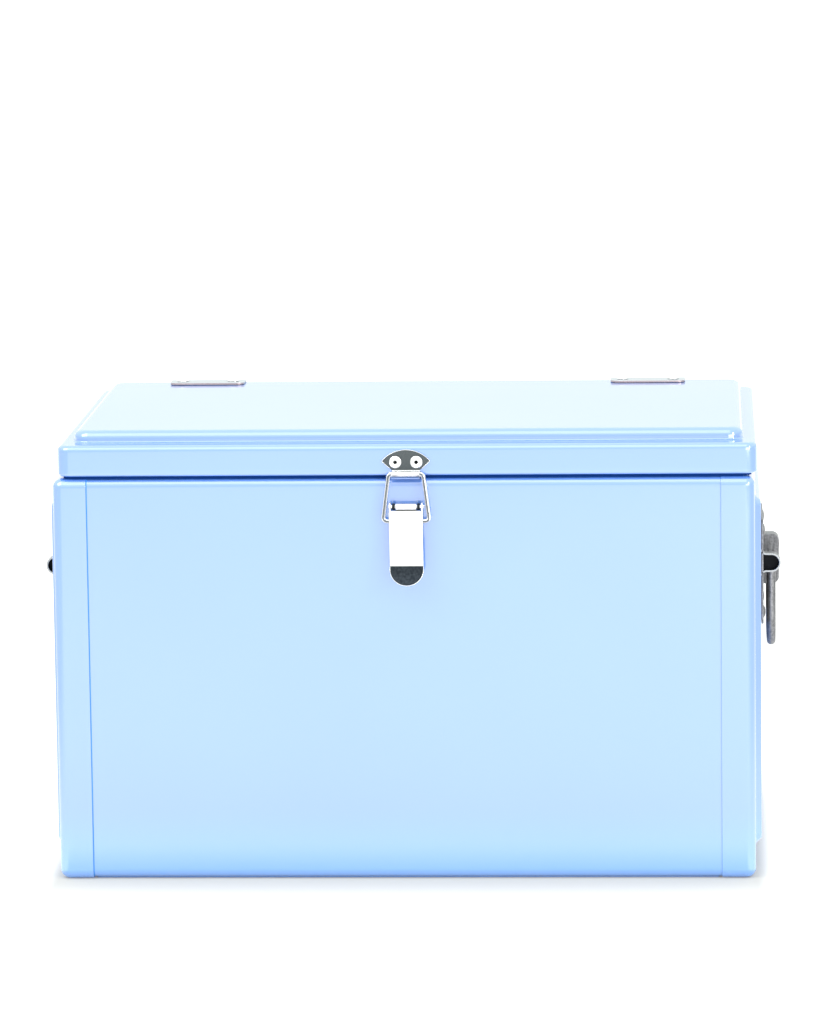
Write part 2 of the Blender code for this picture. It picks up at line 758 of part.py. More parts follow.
def lever():
    """Channel-shaped lever with a flared finger lip, two ears on the pivot pin and holes for the bail."""
    line = [LEVER_TOP, LEVER_KNEE, LEVER_CREASE, LEVER_LIP, LEVER_END]
    sheet = strip("latch_lever", line, latch_place, 2 * LEVER_HALF, LATCH_SHEET, ZINC)
    half = LEVER_HALF - 0.0002
    tip = LEVER_END[1] + LIP_ROUND
    shape = [(a * half / LIP_ROUND, b) for a, b in arc((0.0, tip), LIP_ROUND, 180, 360, 12)]
    shape += [(half, PIVOT[1] + 0.02), (-half, PIVOT[1] + 0.02)]
    keep(sheet, outline("tongue", shape, face_place, 0.03))
    ears = []
    for s in (-1, 1):
        flank = list(EAR_FLANK) + arc(PIVOT, LEVER_EAR, 200, 20, 8)
        low = s * LEVER_HALF + (0.0004 if s < 0 else -0.0014)
        ears.append(
            outline("ear", flank, lambda a, b, t, low=low: (LATCH_X + low + t, FRONT - a, b), LATCH_SHEET)
        )
    join(sheet, *ears)
    for pivot, radius in ((PIVOT, PIVOT_BORE), (BAIL_END, BAIL_WIRE + GAP)):
        cut(sheet, rod("bore", latch_place(*pivot, -0.02), latch_place(*pivot, 0.02), radius, 16))
    smooth(sheet)
    set_origin(sheet, latch_place(*PIVOT, 0.0))


def bail():
    """Wire loop from the lever's side holes up into the hook."""
    path = []
    for s in (-1, 1):
        leg = [
            latch_place(*BAIL_END, s * BAIL_REACH),
            latch_place(*BAIL_END, s * BAIL_LOW_HALF),
            latch_place(*BAIL_BAR, s * BAIL_TOP_HALF),
        ]
        path += leg if s < 0 else leg[::-1]
    made = wire("latch_bail", rounded_path(path, BAIL_CORNER), BAIL_WIRE, ZINC)
    smooth(made, 60)
    set_origin(made, latch_place(*BAIL_END, 0.0))


# Handles

def handle_plate(side, word):
    """Pressed plate with a formed eye at each end and a closed stop block between them."""
    panel = side * (SIDE + EMBOSS)

    def from_panel(a, b, t):
        return (panel + side * a, HANDLE_Y + t, b)

    def box_between(low, high, rounds=()):
        one, two = from_panel(*low), from_panel(*high)
        return block([min(p) for p in zip(one, two)], [max(p) for p in zip(one, two)], rounds)

    low, high = PLATE_Z
    reach_y, reach_z = PLATE_HALF_Y - PLATE_CORNER, (high - low) / 2 - PLATE_CORNER
    corners = []
    for turn, (y, z) in enumerate(((1, 1), (-1, 1), (-1, -1), (1, -1))):
        centre = (y * reach_y, (low + high) / 2 + z * reach_z)
        corners += arc(centre, PLATE_CORNER, 90 * turn, 90 * turn + 90, 4)
    plate = outline(
        "handle_plate_" + word, corners, lambda a, b, t: from_panel(GAP + t, b, a), PLATE, GALVANISED
    )
    flat = GAP + PLATE / 2
    crown = EYE_OUT - EYE_SHEET / 2
    reach = EYE_NOSE + EYE_FOOT
    eye_line = [(flat, HANDLE_Z - reach - EYE_LAP)]
    eye_line += arc((flat + EYE_FOOT, HANDLE_Z - reach), EYE_FOOT, 180, 90, 4)
    eye_line += arc((crown - EYE_NOSE, HANDLE_Z), EYE_NOSE, -90, 90, 10)
    eye_line += arc((flat + EYE_FOOT, HANDLE_Z + reach), EYE_FOOT, 270, 180, 4)
    eye_line.append((flat, HANDLE_Z + reach + EYE_LAP))
    window = reach - GAP
    for s in (-1, 1):
        inner, end = s * (PLATE_HALF_Y - EYE_LENGTH), s * (PLATE_HALF_Y + 0.001)
        cut(plate, cutter(box_between((-0.01, HANDLE_Z - window, inner), (0.01, HANDLE_Z + window, end))))
        middle = s * (PLATE_HALF_Y - EYE_LENGTH / 2)
        eye = strip(
            "eye", eye_line, lambda a, b, t, middle=middle: from_panel(a, b, middle + t),
            EYE_LENGTH, EYE_SHEET,
        )
        join(plate, eye)
    face = panel + side * BOSS_OUT

    def top_and_bottom_rims(a, b):
        return abs(a.x - face) < 1e-6 and abs(b.x - face) < 1e-6 and abs(a.y - b.y) > 1e-5

    boss = box_between(
        (GAP + 0.0002, BOSS_Z[0], -BOSS_HALF_Y), (BOSS_OUT, BOSS_Z[1], BOSS_HALF_Y),
        [(BOSS_ROUND, 5, top_and_bottom_rims)],
    )
    join(plate, cutter(boss))
    smooth(cut(plate, *rivet_holes(handle_rivet_places(side), (side, 0, 0), 0.003)))


def handle_bail(side, word):
    """Drop bail whose turned-out ends sit in the plate's two eyes."""
    def at(y, drop):
        return (side * (SIDE + EMBOSS + HANDLE_AXIS_OUT), HANDLE_Y + y, HANDLE_Z - drop)

    end = PLATE_HALF_Y - 0.0015
    shoulder = rounded_path([at(-end, 0), at(-LEG_Y, 0), at(-LEG_Y, HANDLE_DROP)], HANDLE_BEND)[:-1]
    loop = [at(-LEG_Y, 0), at(-LEG_Y, HANDLE_DROP), at(LEG_Y, HANDLE_DROP), at(LEG_Y, 0)]
    other = rounded_path([at(LEG_Y, HANDLE_DROP), at(LEG_Y, 0), at(end, 0)], HANDLE_BEND)[1:]
    path = shoulder + rounded_path(loop, HANDLE_CORNER, 6)[1:-1] + other
    made = wire("handle_bail_" + word, path, HANDLE_WIRE, GALVANISED)
    smooth(made, 60)
    set_origin(made, at(0, 0))


def fasteners():
    through = SHEET + GAP + 0.0001
    rivets("hinge_lid_rivet", hinge_top_rivets(), (0, 0, 1), LEAF + 2 * GAP + through)
    rivets("hinge_body_rivet", hinge_back_rivets(), (0, 1, 0), LEAF + 2 * GAP + SHEET)
    rivets("catch_rivet", catch_rivet_places(), (0, -1, 0), LATCH_SHEET + 2 * GAP + through)
    rivets("latch_base_rivet", base_rivet_places(), (0, -1, 0), LATCH_SHEET + 2 * GAP + SHEET)
    for side, word in ((-1, "left"), (1, "right")):
        places = handle_rivet_places(side)
        rivets(f"handle_{word}_rivet", places, (side, 0, 0), PLATE + 2 * GAP + through, GALVANISED)


body_shell()
liner_and_foam()
lid_shell()
lid_inside()
for hinge_x, word in zip(HINGE_X, ("left", "right")):
    hinge(hinge_x, word)
catch()
latch_base()
lever()
bail()
for side, word in ((-1, "left"), (1, "right")):
    handle_plate(side, word)
    handle_bail(side, word)
fasteners()
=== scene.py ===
"""The looks of the soda cooler chest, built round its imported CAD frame.

Metres, +Z up, front face towards -Y. Every visible sheet, wire, rivet and moulding is a finer piece
that rides on the CAD body of the node it stands for.
"""

import json
from math import cos, pi, radians, sin, sqrt

import bmesh
import bpy
from mathutils import Matrix, Vector


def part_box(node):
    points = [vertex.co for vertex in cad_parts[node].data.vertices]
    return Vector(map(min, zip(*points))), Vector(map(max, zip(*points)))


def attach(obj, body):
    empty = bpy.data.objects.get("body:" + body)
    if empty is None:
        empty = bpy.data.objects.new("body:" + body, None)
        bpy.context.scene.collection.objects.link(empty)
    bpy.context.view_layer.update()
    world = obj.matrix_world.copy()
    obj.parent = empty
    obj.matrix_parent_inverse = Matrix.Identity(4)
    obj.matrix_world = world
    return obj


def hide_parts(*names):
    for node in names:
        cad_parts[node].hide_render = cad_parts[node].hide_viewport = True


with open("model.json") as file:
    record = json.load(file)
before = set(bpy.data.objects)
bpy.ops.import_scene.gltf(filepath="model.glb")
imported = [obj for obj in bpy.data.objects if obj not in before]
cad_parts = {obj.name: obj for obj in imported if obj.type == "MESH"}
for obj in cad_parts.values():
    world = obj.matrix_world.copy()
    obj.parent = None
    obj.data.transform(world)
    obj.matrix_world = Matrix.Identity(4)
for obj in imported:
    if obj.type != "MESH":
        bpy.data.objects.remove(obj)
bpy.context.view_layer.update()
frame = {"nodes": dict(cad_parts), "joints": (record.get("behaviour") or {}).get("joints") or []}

# Places read from the frame
END_LOW, END_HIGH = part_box("end_cap_right")
LID_LOW, LID_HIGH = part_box("lid_shell")
PANEL_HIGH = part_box("front_panel")[1]
CATCH_LOW, CATCH_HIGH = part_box("catch_plate")
LEVER_LOW, LEVER_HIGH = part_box("latch_lever")
JOINTS = {joint["name"]: Vector(joint["pos_m"]) for joint in frame["joints"]}
HINGE_AXIS = JOINTS["lid_hinge"]
PIVOT = JOINTS["latch_lever_swing"]
BAIL_END = JOINTS["latch_bail_swing"]
LATCH_X = PIVOT.x
FRONT, BACK = END_LOW.y, END_HIGH.y
BODY_TOP = END_HIGH.z

# Mesh detail
ARC_STEPS = 8
MERGE = 2e-6
TINY = 0.0002
TINY_HALF = 0.0006

# Sheet metal
SHEET = 0.0006
CUT_EDGE = 0.00015
CAP_EDGE = 0.00028
ROUND = 0.006
EMBOSS = 0.004
EMBOSS_SLOPE = 0.005
EMBOSS_HALF_Y = 0.115
EMBOSS_Z = (0.0155, 0.2432)
EMBOSS_CORNER = 0.008
EMBOSS_STEPS = 12
EMBOSS_FOOT_CORNER = 0.002
SIDE = END_HIGH.x - EMBOSS
HOLD = 0.0012
PANEL_OUT = 0.0009
PANEL_DROP = 0.0003
UPSTAND_OVER = 0.0002

# Seams between the panels and the end caps: side, name, reach over the cap, reach over the panel
SEAMS = ((-1, "left", 0.0, 0.0006), (1, "right", 0.0004, 0.0001))
SEAM_RAISE = 0.00006
SEAM_SHEET = 0.0001

# Moulded tub
TUB_WALL = 0.0270
TUB_SHEET = 0.0012
TUB_DRAFT = 0.0006
TUB_ROLL = 0.0020
TUB_FOOT = 0.010
TUB_CORNER = 0.016
TUB_RIM_CORNER = 0.010

# Lid
LID_CORNER = 0.0075
LID_FILLET = 0.0035
LID_CURL = 0.0020
LID_LIP = 0.006
LIP_CORNER = 0.003
FLANGE_INSET = 0.0036
FLANGE_GAP = 0.0004
FLANGE_LAP = 0.0012
BEND_START = 0.0005
RAISE_MARGIN = Vector((0.0088, 0.0165))
RAISE_CORNER = 0.0095
RAISE_FILLET = 0.0053
RAISE_FOOT = 0.0012
SHELF = 0.2801

# Moulded lid panel and its plug
PLUG_WALL = 0.0310
PLUG_SHEET = 0.0016
PLUG_DRAFT = 0.0010
PLUG_ROLL = 0.0040
PLUG_CORNER = 0.014
PLUG_NECK = 0.0015

# Rivets and hinges
RIVET_RISE = 0.0016
RIVET_RADIUS = 0.0040
RIVET_EYE = 0.30
PART_GAP = 0.0003
FRONT_FACING = 0.4
HINGE_SHEET = {"sheet": 0.0012, "offset": 1.0, "edge": CUT_EDGE, "sharp": 50}
KNUCKLE = 0.0026
KNUCKLE_BORE = 0.0016
KNUCKLE_LONG = 0.0166
LEAF_COLUMNS = 12
LEAF_NOSE = 0.005
LEAF_FOOT = 0.0017
LEAF_BEND = 0.0016
LEAF_END = 0.0048
LEAF_CORNER = 0.004
TAB_START = 0.0042
WEB_START = 0.0046

# Latch
PLATE = 0.0010
CATCH_EDGE = 0.00042
CATCH_BACK = 0.0003
CROWN_RISE = 0.0068
CROWN_STEPS = 14
SHOULDER = 0.0006
WAIST = 0.0088
WAIST_STEPS = 5
HOOK_HALF = 0.0090
HOOK_BEND = 0.0024
HOOK_ROOM = 0.0003
HOOK_SWEEP = 52
HOOK_STEPS = 12
HOOK_TOP = 0.2640
HOOK_GLINT = 0.2645
RIM_END = 0.2650
KNUCKLE_ROLL = 0.0023
WASHER = 0.0021
PIVOT_BORE = 0.0014
LEVER_HALF = (LEVER_HIGH.x - LEVER_LOW.x) / 2
LEVER_TOP = PIVOT.z - 0.0024
CREASE = PIVOT.z - 0.0363
LEVER_END = LEVER_LOW.z + 0.0002
LEVER_SHOULDER = 0.0016
LEVER_WAIST = 0.0014
LIP_ROUND = 0.0095
EAR_ROUND = 0.0030
LEVER_LEAN = 0.015
LEVER_SHIFT = 0.0003
BAIL_WIRE = 0.00145
RIM_HIGHLIGHT_WIRE = 0.00018
BAIL_TOP_HALF = 0.0109
BAIL_LOW_HALF = 0.0148
BAIL_BAR = Vector((0.0, FRONT - 0.0034, 0.2621))

# Handles
BACKING_SHEET = 0.0014
BACKING_CORNER = 0.006
EYE_SHEET = 0.0012
EYE_OUT = 0.0131
EYE_NOSE = 0.0056
EYE_FOOT = 0.0030
EYE_LONG = 0.008
EYE_WEB = 0.0004
HANDLE_WIRE = 0.0030
HANDLE_LEG = 0.0284
HANDLE_DROP = 0.0551
HANDLE_TAIL = 0.0055
HANDLE_NECK = 0.0034
HANDLE_CORNER = 0.012
BOSS_OUT = 0.0129
BOSS_Z = (0.1668, 0.1998)
BOSS_HALF_Y = 0.0064
BOSS_SOFT = 0.0045

# Painted bounce light: the base colour turns a lighter azure towards the rolled lower edge, standing in for
# light thrown up from the floor
BOUNCE_TINT_HEIGHTS = (0.001, 0.050)
PAINTED_BOUNCE_BLUE = (0.118, 0.345, 0.87)

# The middle range of a texture, which is spread over a range of values or colours
MIDDLE = (0.3, 0.7)

# Studio
FLOOR_HALF = 12.0
FLOOR_PAINT = (0.46, 0.452, 0.437)
# painted shadow: the floor glows less near the chest, a contact shadow, and less far out beside it, shade for
# the chest's sides
FLOOR_GLOW = (0.15, 0.88)
FLOOR_FADE = 0.12
FLOOR_FADE_SCALE = (7.0, 1.0, 0.0)
SIDE_GLOW = 0.43
SIDE_FADE = (0.32, 0.95)
REAR_FADE = (0.5, 1.0)
SKY = (1.14, 1.44)
SKY_FADE = (0.12, 0.45)
SKY_COLOUR = (0.99, 1.04, 1.0)
BACKDROP = 1.1

# Softboxes: name, place, aim, size, power
SOFTBOXES = (
    ("key", (-1.05, -0.85, 1.36), (-1.05, -0.14, 0.26), (1.20, 1.0), 7.0),
    ("wide_key", (-0.65, -0.87, 1.38), (-0.65, -0.14, 0.26), (2.40, 1.0), 6.5),
    ("fill", (0.9, -1.6, 0.34), (0.1, -0.14, 0.12), (1.2, 0.6), 6.0),
    ("right_strip", (1.6, -1.5, 0.95), (0.2, -0.1, 0.27), (0.2, 0.9), 8.0),
)

# Camera
LENS = 196.35
SENSOR = 36.0
CAMERA_PLACE = (0.19281, -3.62592, 0.76690)
CAMERA_TURN = (81.3706, 0.7138, 2.9839)


# Materials

def node_material(name, colour, roughness, metallic=0.0, **sockets):
    """A Principled material whose other uniform sockets are given by name, with _ for a space."""
    made = bpy.data.materials.new(name)
    made.use_nodes = True
    shader = made.node_tree.nodes["Principled BSDF"]
    shader.inputs["Base Color"].default_value = (*colour, 1.0)
    shader.inputs["Roughness"].default_value = roughness
    shader.inputs["Metallic"].default_value = metallic
    for socket, value in sockets.items():
        shader.inputs[socket.replace("_", " ")].default_value = value
    return made


def add_node(made, kind, inputs=(), **settings):
    node = made.node_tree.nodes.new(kind)
    for key, value in settings.items():
        setattr(node, key, value)
    for socket, value in dict(inputs).items():
        if isinstance(value, bpy.types.NodeSocket):
            made.node_tree.links.new(value, node.inputs[socket])
        else:
            node.inputs[socket].default_value = value
    return node


def shader_input(made, socket, source):
    made.node_tree.links.new(source, made.node_tree.nodes["Principled BSDF"].inputs[socket])


def noise(made, scale, detail=3.0, stretch=(1.0, 1.0, 1.0)):
    """Noise in the row frame, with scale in features per metre."""
    place = add_node(made, "ShaderNodeTexCoord").outputs["Object"]
    mapped = add_node(made, "ShaderNodeMapping", {"Vector": place, "Scale": stretch}).outputs["Vector"]
    found = add_node(made, "ShaderNodeTexNoise", {"Vector": mapped, "Scale": scale, "Detail": detail})
    return found.outputs["Fac"]


def map_range(made, source, start, end, low, high, **settings):
    """Maps the values between start and end onto those between low and high."""
    limits = {"Value": source, "From Min": start, "From Max": end, "To Min": low, "To Max": high}
    return add_node(made, "ShaderNodeMapRange", limits, **settings).outputs["Result"]


def spread(made, source, low, high):
    return map_range(made, source, *MIDDLE, low, high)


def two_tone(made, source, dark, light):
    """Colours the surface from dark to light by a texture, and returns the colour's socket."""
    ramp = add_node(made, "ShaderNodeValToRGB", {"Fac": source})
    for stop, position, colour in zip(ramp.color_ramp.elements, MIDDLE, (dark, light)):
        stop.position = position
        stop.color = (*colour, 1.0)
    shader_input(made, "Base Color", ramp.outputs["Color"])
    return ramp.outputs["Color"]


def bumps(made, layers):
    """Stacks bump layers of (height source, distance in metres, strength)."""
    normal = None
    for height, distance, strength in layers:
        inputs = {"Height": height, "Distance": distance, "Strength": strength}
        if normal:
            inputs["Normal"] = normal
        normal = add_node(made, "ShaderNodeBump", inputs).outputs["Normal"]
    shader_input(made, "Normal", normal)


def enamel():
    """Glossy powder coat on a sheet that is never quite flat, with painted bounce light: a lighter azure
    towards the lower edge.
    """
    made = node_material(
        "sky_blue_powder_coat", (0.111, 0.263, 0.71), 0.30, Coat_Weight=1.0, Coat_Roughness=0.05,
        Coat_IOR=2.55, Specular_IOR_Level=0.8,
    )
    sheet = two_tone(made, noise(made, 7.0, 2.0), (0.108, 0.258, 0.702), (0.114, 0.268, 0.718))
    place = add_node(made, "ShaderNodeTexCoord").outputs["Object"]
    height = add_node(made, "ShaderNodeSeparateXYZ", {"Vector": place}).outputs["Z"]
    # painted bounce light: below the given height the colour blends into a lighter azure
    low = map_range(made, height, *BOUNCE_TINT_HEIGHTS, 1.0, 0.0, interpolation_type="SMOOTHSTEP")
    mixed = add_node(
        made, "ShaderNodeMix", {"Factor": low, "A": sheet, "B": (*PAINTED_BOUNCE_BLUE, 1.0)}, data_type="RGBA"
    )
    shader_input(made, "Base Color", next(end for end in mixed.outputs if end.enabled))
    shader_input(made, "Roughness", spread(made, noise(made, 4.0, 1.0), 0.28, 0.32))
    bumps(made, [(noise(made, 5.0, 1.0), 0.02, 0.008)])
    return made


def zinc(name, dark, light, roughness, grain=2600.0):
    """Zinc plate: bright metal with a fine crystalline grain and faint rolling marks."""
    made = node_material(name, light, roughness, 1.0)
    two_tone(made, noise(made, grain, 5.0), dark, light)
    grit = noise(made, 900.0, 4.0)
    shader_input(made, "Roughness", spread(made, grit, roughness - 0.05, roughness + 0.07))
    bumps(made, [(noise(made, 1500.0, 4.0, (1.0, 1.0, 0.25)), 0.0002, 0.12)])
    return made


def galvanised():
    """Weathered galvanising: a dark grey coat with soft spangles and vertical streaks."""
    made = node_material("galvanised_steel", (0.42, 0.43, 0.45), 0.38, 1.0)
    place = add_node(made, "ShaderNodeTexCoord").outputs["Object"]
    spangle = add_node(made, "ShaderNodeTexVoronoi", {"Vector": place, "Scale": 900.0}).outputs["Color"]
    value = add_node(made, "ShaderNodeSeparateColor", {"Color": spangle}).outputs["Red"]
    streak = noise(made, 900.0, 4.0, (1.0, 1.0, 0.12))
    mixed = add_node(made, "ShaderNodeMix", {"Factor": 0.80, "A": value, "B": streak}).outputs["Result"]
    two_tone(made, mixed, (0.13, 0.13, 0.14), (0.32, 0.32, 0.335))
    shader_input(made, "Roughness", spread(made, streak, 0.30, 0.48))
    bumps(made, [(streak, 0.0002, 0.15), (noise(made, 2200.0, 3.0), 0.0001, 0.1)])
    return made


def matt(name, dark, light, roughness, scale, depth, **sockets):
    """A material that isn't metal, with a faint change of tone and a fine grain."""
    made = node_material(name, light, roughness, **sockets)
    two_tone(made, noise(made, scale / 40, 2.0), dark, light)
    bumps(made, [(noise(made, scale, 3.0), depth, 0.2)])
    return made


ENAMEL = enamel()
ZINC = zinc("bright_zinc", (0.80, 0.80, 0.82), (0.93, 0.93, 0.94), 0.20)
# painted reflection: a dark zinc for the catch's fan face, standing in for the dark it mirrors
DARK_REFLECTION_ZINC = zinc("painted_dark_reflection_zinc", (0.060, 0.070, 0.076), (0.135, 0.150, 0.160), 0.34)
# painted reflection: a darker zinc for the front-facing strip of the latch bail
WIRE_REFLECTION_ZINC = zinc("painted_reflection_wire_zinc", (0.12, 0.13, 0.14), (0.24, 0.25, 0.27), 0.20)
# painted shade and reflection: near black for the lever's lip face, the latch base and its washers
SHADE_AND_REFLECTION_ZINC = zinc("painted_shade_and_reflection_zinc", (0.016, 0.020, 0.026), (0.040, 0.048, 0.058), 0.30, 700.0)
# painted shadow: a deeper blue for the lines where the end caps overlap the panels
SEAM = matt("painted_seam_shadow", (0.036, 0.265, 0.720), (0.040, 0.280, 0.750), 0.5, 900.0, 0.0001)
# painted shade: a dark blue for the sheets set behind the gap under the lid
GAP_SHADE = matt(
    "shaded_enamel", (0.000, 0.030, 0.170), (0.000, 0.034, 0.190), 0.6, 900.0, 0.0001, Specular_IOR_Level=0.1
)
# a brownish zinc for the front-facing faces of the lid leaves
BROWN_FRONT_ZINC = zinc("brownish_front_zinc", (0.44, 0.33, 0.32), (0.60, 0.49, 0.48), 0.40)
HINGE_ZINC = zinc("dull_zinc", (0.50, 0.53, 0.57), (0.60, 0.63, 0.67), 0.40)
GALVANISED = galvanised()
# bare steel of the sheared edges, kept light as a painted highlight on the eye rims
SHEARED_EDGE_HIGHLIGHT = zinc("sheared_edge_and_highlight", (0.34, 0.35, 0.36), (0.52, 0.53, 0.54), 0.30)
# painted shade: near black for the insides of hollows and recesses
HOLLOW_SHADE = matt(
    "painted_hollow_shade", (0.003, 0.004, 0.006), (0.007, 0.008, 0.011), 0.45, 900.0, 0.0002,
    Specular_IOR_Level=0.12,
)
LINER = matt("white_moulded_plastic", (0.46, 0.47, 0.49), (0.51, 0.52, 0.54), 0.34, 1400.0, 0.0001)
FOAM = matt("cream_foam", (0.66, 0.55, 0.32), (0.76, 0.65, 0.42), 0.92, 800.0, 0.0006)
RUBBER = matt("navy_rubber", (0.010, 0.036, 0.100), (0.015, 0.048, 0.130), 0.62, 1100.0, 0.0002)


# Mesh helpers

def arc(centre, radius, start, end, count=ARC_STEPS):
    """Points on a circular arc in a plane, angles in degrees."""
    angles = [radians(start + (end - start) * i / count) for i in range(count + 1)]
    return [(centre[0] + radius * cos(a), centre[1] + radius * sin(a)) for a in angles]


def ring(low, high, corner):
    """A rounded rectangle between two corners, as points (a, b) anticlockwise."""
    (a0, b0), (a1, b1) = low, high
    points = arc((a1 - corner, b1 - corner), corner, 0, 90)
    points += arc((a0 + corner, b1 - corner), corner, 90, 180)
    points += arc((a0 + corner, b0 + corner), corner, 180, 270)
    return points + arc((a1 - corner, b0 + corner), corner, 270, 360)


def grid(rows, round_trip=False, cap=False, closed=False):
    """Faces between rows of points. round_trip joins each row's ends, closed the last row to the first."""
    body = bmesh.new()
    rows = [[body.verts.new(p) for p in row] for row in rows]
    pairs = list(zip(rows, rows[1:])) + ([(rows[-1], rows[0])] if closed else [])
    for one, two in pairs:
        last = len(one) if round_trip else len(one) - 1
        for i in range(last):
            j = (i + 1) % len(one)
            body.faces.new((one[i], one[j], two[j], two[i]))
    if cap:
        body.faces.new(rows[-1])
    bmesh.ops.remove_doubles(body, verts=body.verts, dist=MERGE)
    return body


def face_outward(body):
    """Makes the faces agree and point away from the middle of the shape."""
    bmesh.ops.recalc_face_normals(body, faces=body.faces)
    middle = sum((v.co for v in body.verts), Vector()) / len(body.verts)
    body.normal_update()
    outward = sum((f.calc_center_median() - middle).dot(f.normal) * f.calc_area() for f in body.faces)
    if outward < 0:
        bmesh.ops.reverse_faces(body, faces=body.faces)


def bake(made):
    """Applies the modifiers."""
    graph = bpy.context.evaluated_depsgraph_get()
    mesh = bpy.data.meshes.new_from_object(made.evaluated_get(graph))
    made.modifiers.clear()
    made.data = mesh


def piece(name, body, looks, rides, stands_for, slot, sheet=0.0, offset=-1.0, edge=0.0, sharp=60, inner=0):
    """Makes a visible piece from a bmesh: thickened to sheet, its cut edges eased, smooth shaded."""
    face_outward(body)
    mesh = bpy.data.meshes.new(name)
    body.to_mesh(mesh)
    body.free()
    for look in looks:
        mesh.materials.append(look)
    made = bpy.data.objects.new(name, mesh)
    bpy.context.scene.collection.objects.link(made)
    if sheet:
        solid = made.modifiers.new("thickness", "SOLIDIFY")
        solid.thickness = sheet
        solid.offset = offset
        solid.use_even_offset = True
        solid.use_quality_normals = True
        solid.material_offset = inner
    if edge:
        eased = made.modifiers.new("edges", "BEVEL")
        eased.width = edge
        eased.segments = 2
        eased.limit_method = "ANGLE"
        eased.angle_limit = radians(sharp)
        eased.use_clamp_overlap = True
    bake(made)
    made.data.shade_smooth()
    made.data.set_sharp_from_angle(angle=radians(sharp))
    level = made.modifiers.new("level", "WEIGHTED_NORMAL")
    level.keep_sharp = True
    bake(made)
    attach(made, rides)
    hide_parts(*stands_for)
    return made


def levels(rings):
    """Rows of points from (height, ring) pairs."""
    return [[(a, b, z) for a, b in points] for z, points in rings]


def split_looks(made, test):
    """Gives a piece's second material to the faces that pass the test, and its first to the others."""
    for face in made.data.polygons:
        face.material_index = 1 if test(face) else 0


def smoothstep(t):
    return t * t * (3 - 2 * t)


def shrink(low, high, inset):
    return (low[0] + inset, low[1] + inset), (high[0] - inset, high[1] - inset)


# Body

def end_cap(side, word):
    """Pressed end panel with round edges, an embossed field and a wrap onto the four neighbouring faces."""
    low, high = (FRONT, END_LOW.z), (BACK, BODY_TOP)
    rings = [(abs(END_LOW.x), ring(low, high, ROUND)), (SIDE - ROUND, ring(low, high, ROUND))]
    for inset, rise in arc((ROUND, 0.0), ROUND, 180, 90)[1:]:
        rings.append((SIDE - ROUND + rise, ring(*shrink(low, high, inset), max(ROUND - inset, TINY))))
    rings.append((SIDE, ring(*shrink(low, high, ROUND + HOLD), EMBOSS_FOOT_CORNER)))
    low, high = (-EMBOSS_HALF_Y, EMBOSS_Z[0]), (EMBOSS_HALF_Y, EMBOSS_Z[1])
    rings.append((SIDE, ring(*shrink(low, high, -HOLD), EMBOSS_CORNER + HOLD)))
    for i in range(EMBOSS_STEPS + 1):
        t = i / EMBOSS_STEPS
        inset = EMBOSS_SLOPE * t
        rings.append((SIDE + EMBOSS * smoothstep(t), ring(*shrink(low, high, inset), EMBOSS_CORNER - inset)))
    inset = EMBOSS_SLOPE + HOLD
    rings.append((SIDE + EMBOSS, ring(*shrink(low, high, inset), EMBOSS_CORNER - inset)))
    body = grid([[(side * x, a, b) for a, b in points] for x, points in rings], round_trip=True, cap=True)
    piece(
        "pressed_end_" + word, body, [ENAMEL], "chest", ["end_cap_" + word], "enamel",
        sheet=SHEET, edge=CAP_EDGE, sharp=50,
    )


def channel(facing, name, node):
    """Front or back panel: one sheet whose top and bottom edges roll inwards under the end caps."""
    outer = BACK - PANEL_OUT
    bend = ROUND - PANEL_OUT
    top, bottom = BODY_TOP - PANEL_DROP, PANEL_OUT
    flange = PANEL_HIGH.y if facing < 0 else -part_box(node)[0].y
    line = [(flange, top)] + arc((-outer + bend, top - bend), bend, 90, 180)
    line += [(-outer, top - bend - HOLD), (-outer, bottom + bend + HOLD)]
    line += arc((-outer + bend, bottom + bend), bend, 180, 270) + [(flange, bottom)]
    half = PANEL_HIGH.x
    body = grid([[(x, -facing * a, b) for x in (-half, half)] for a, b in line])
    piece(name, body, [ENAMEL], "chest", [node], "enamel", sheet=SHEET, edge=CUT_EDGE, sharp=50)
    # painted shadow: a thin deeper-blue strip on the panel beside each end cap, standing in for the shadow
    # line under the cap's edge
    lip = abs(END_LOW.x)
    for side, word, over, width in SEAMS:
        ends = sorted((side * (lip + over), side * (lip - width)))
        rows = [[(x, facing * (abs(a) + SEAM_RAISE), b) for x in ends] for a, b in line[1:-1]]
        piece(f"seam_{name}_{word}", grid(rows), [SEAM], "chest", [], "enamel", sheet=SEAM_SHEET, offset=0.0)
    # painted shade: a dark strip standing at the panel's top, behind the gap under the lid
    back = facing * (abs(FRONT) - FLANGE_INSET)
    rows = [[(x, back, z) for x in (-half, half)] for z in (top - SHEET / 2, BODY_TOP + UPSTAND_OVER)]
    piece("upstand_" + name, grid(rows), [GAP_SHADE], "chest", [], "enamel", sheet=SHEET / 2, offset=0.0)


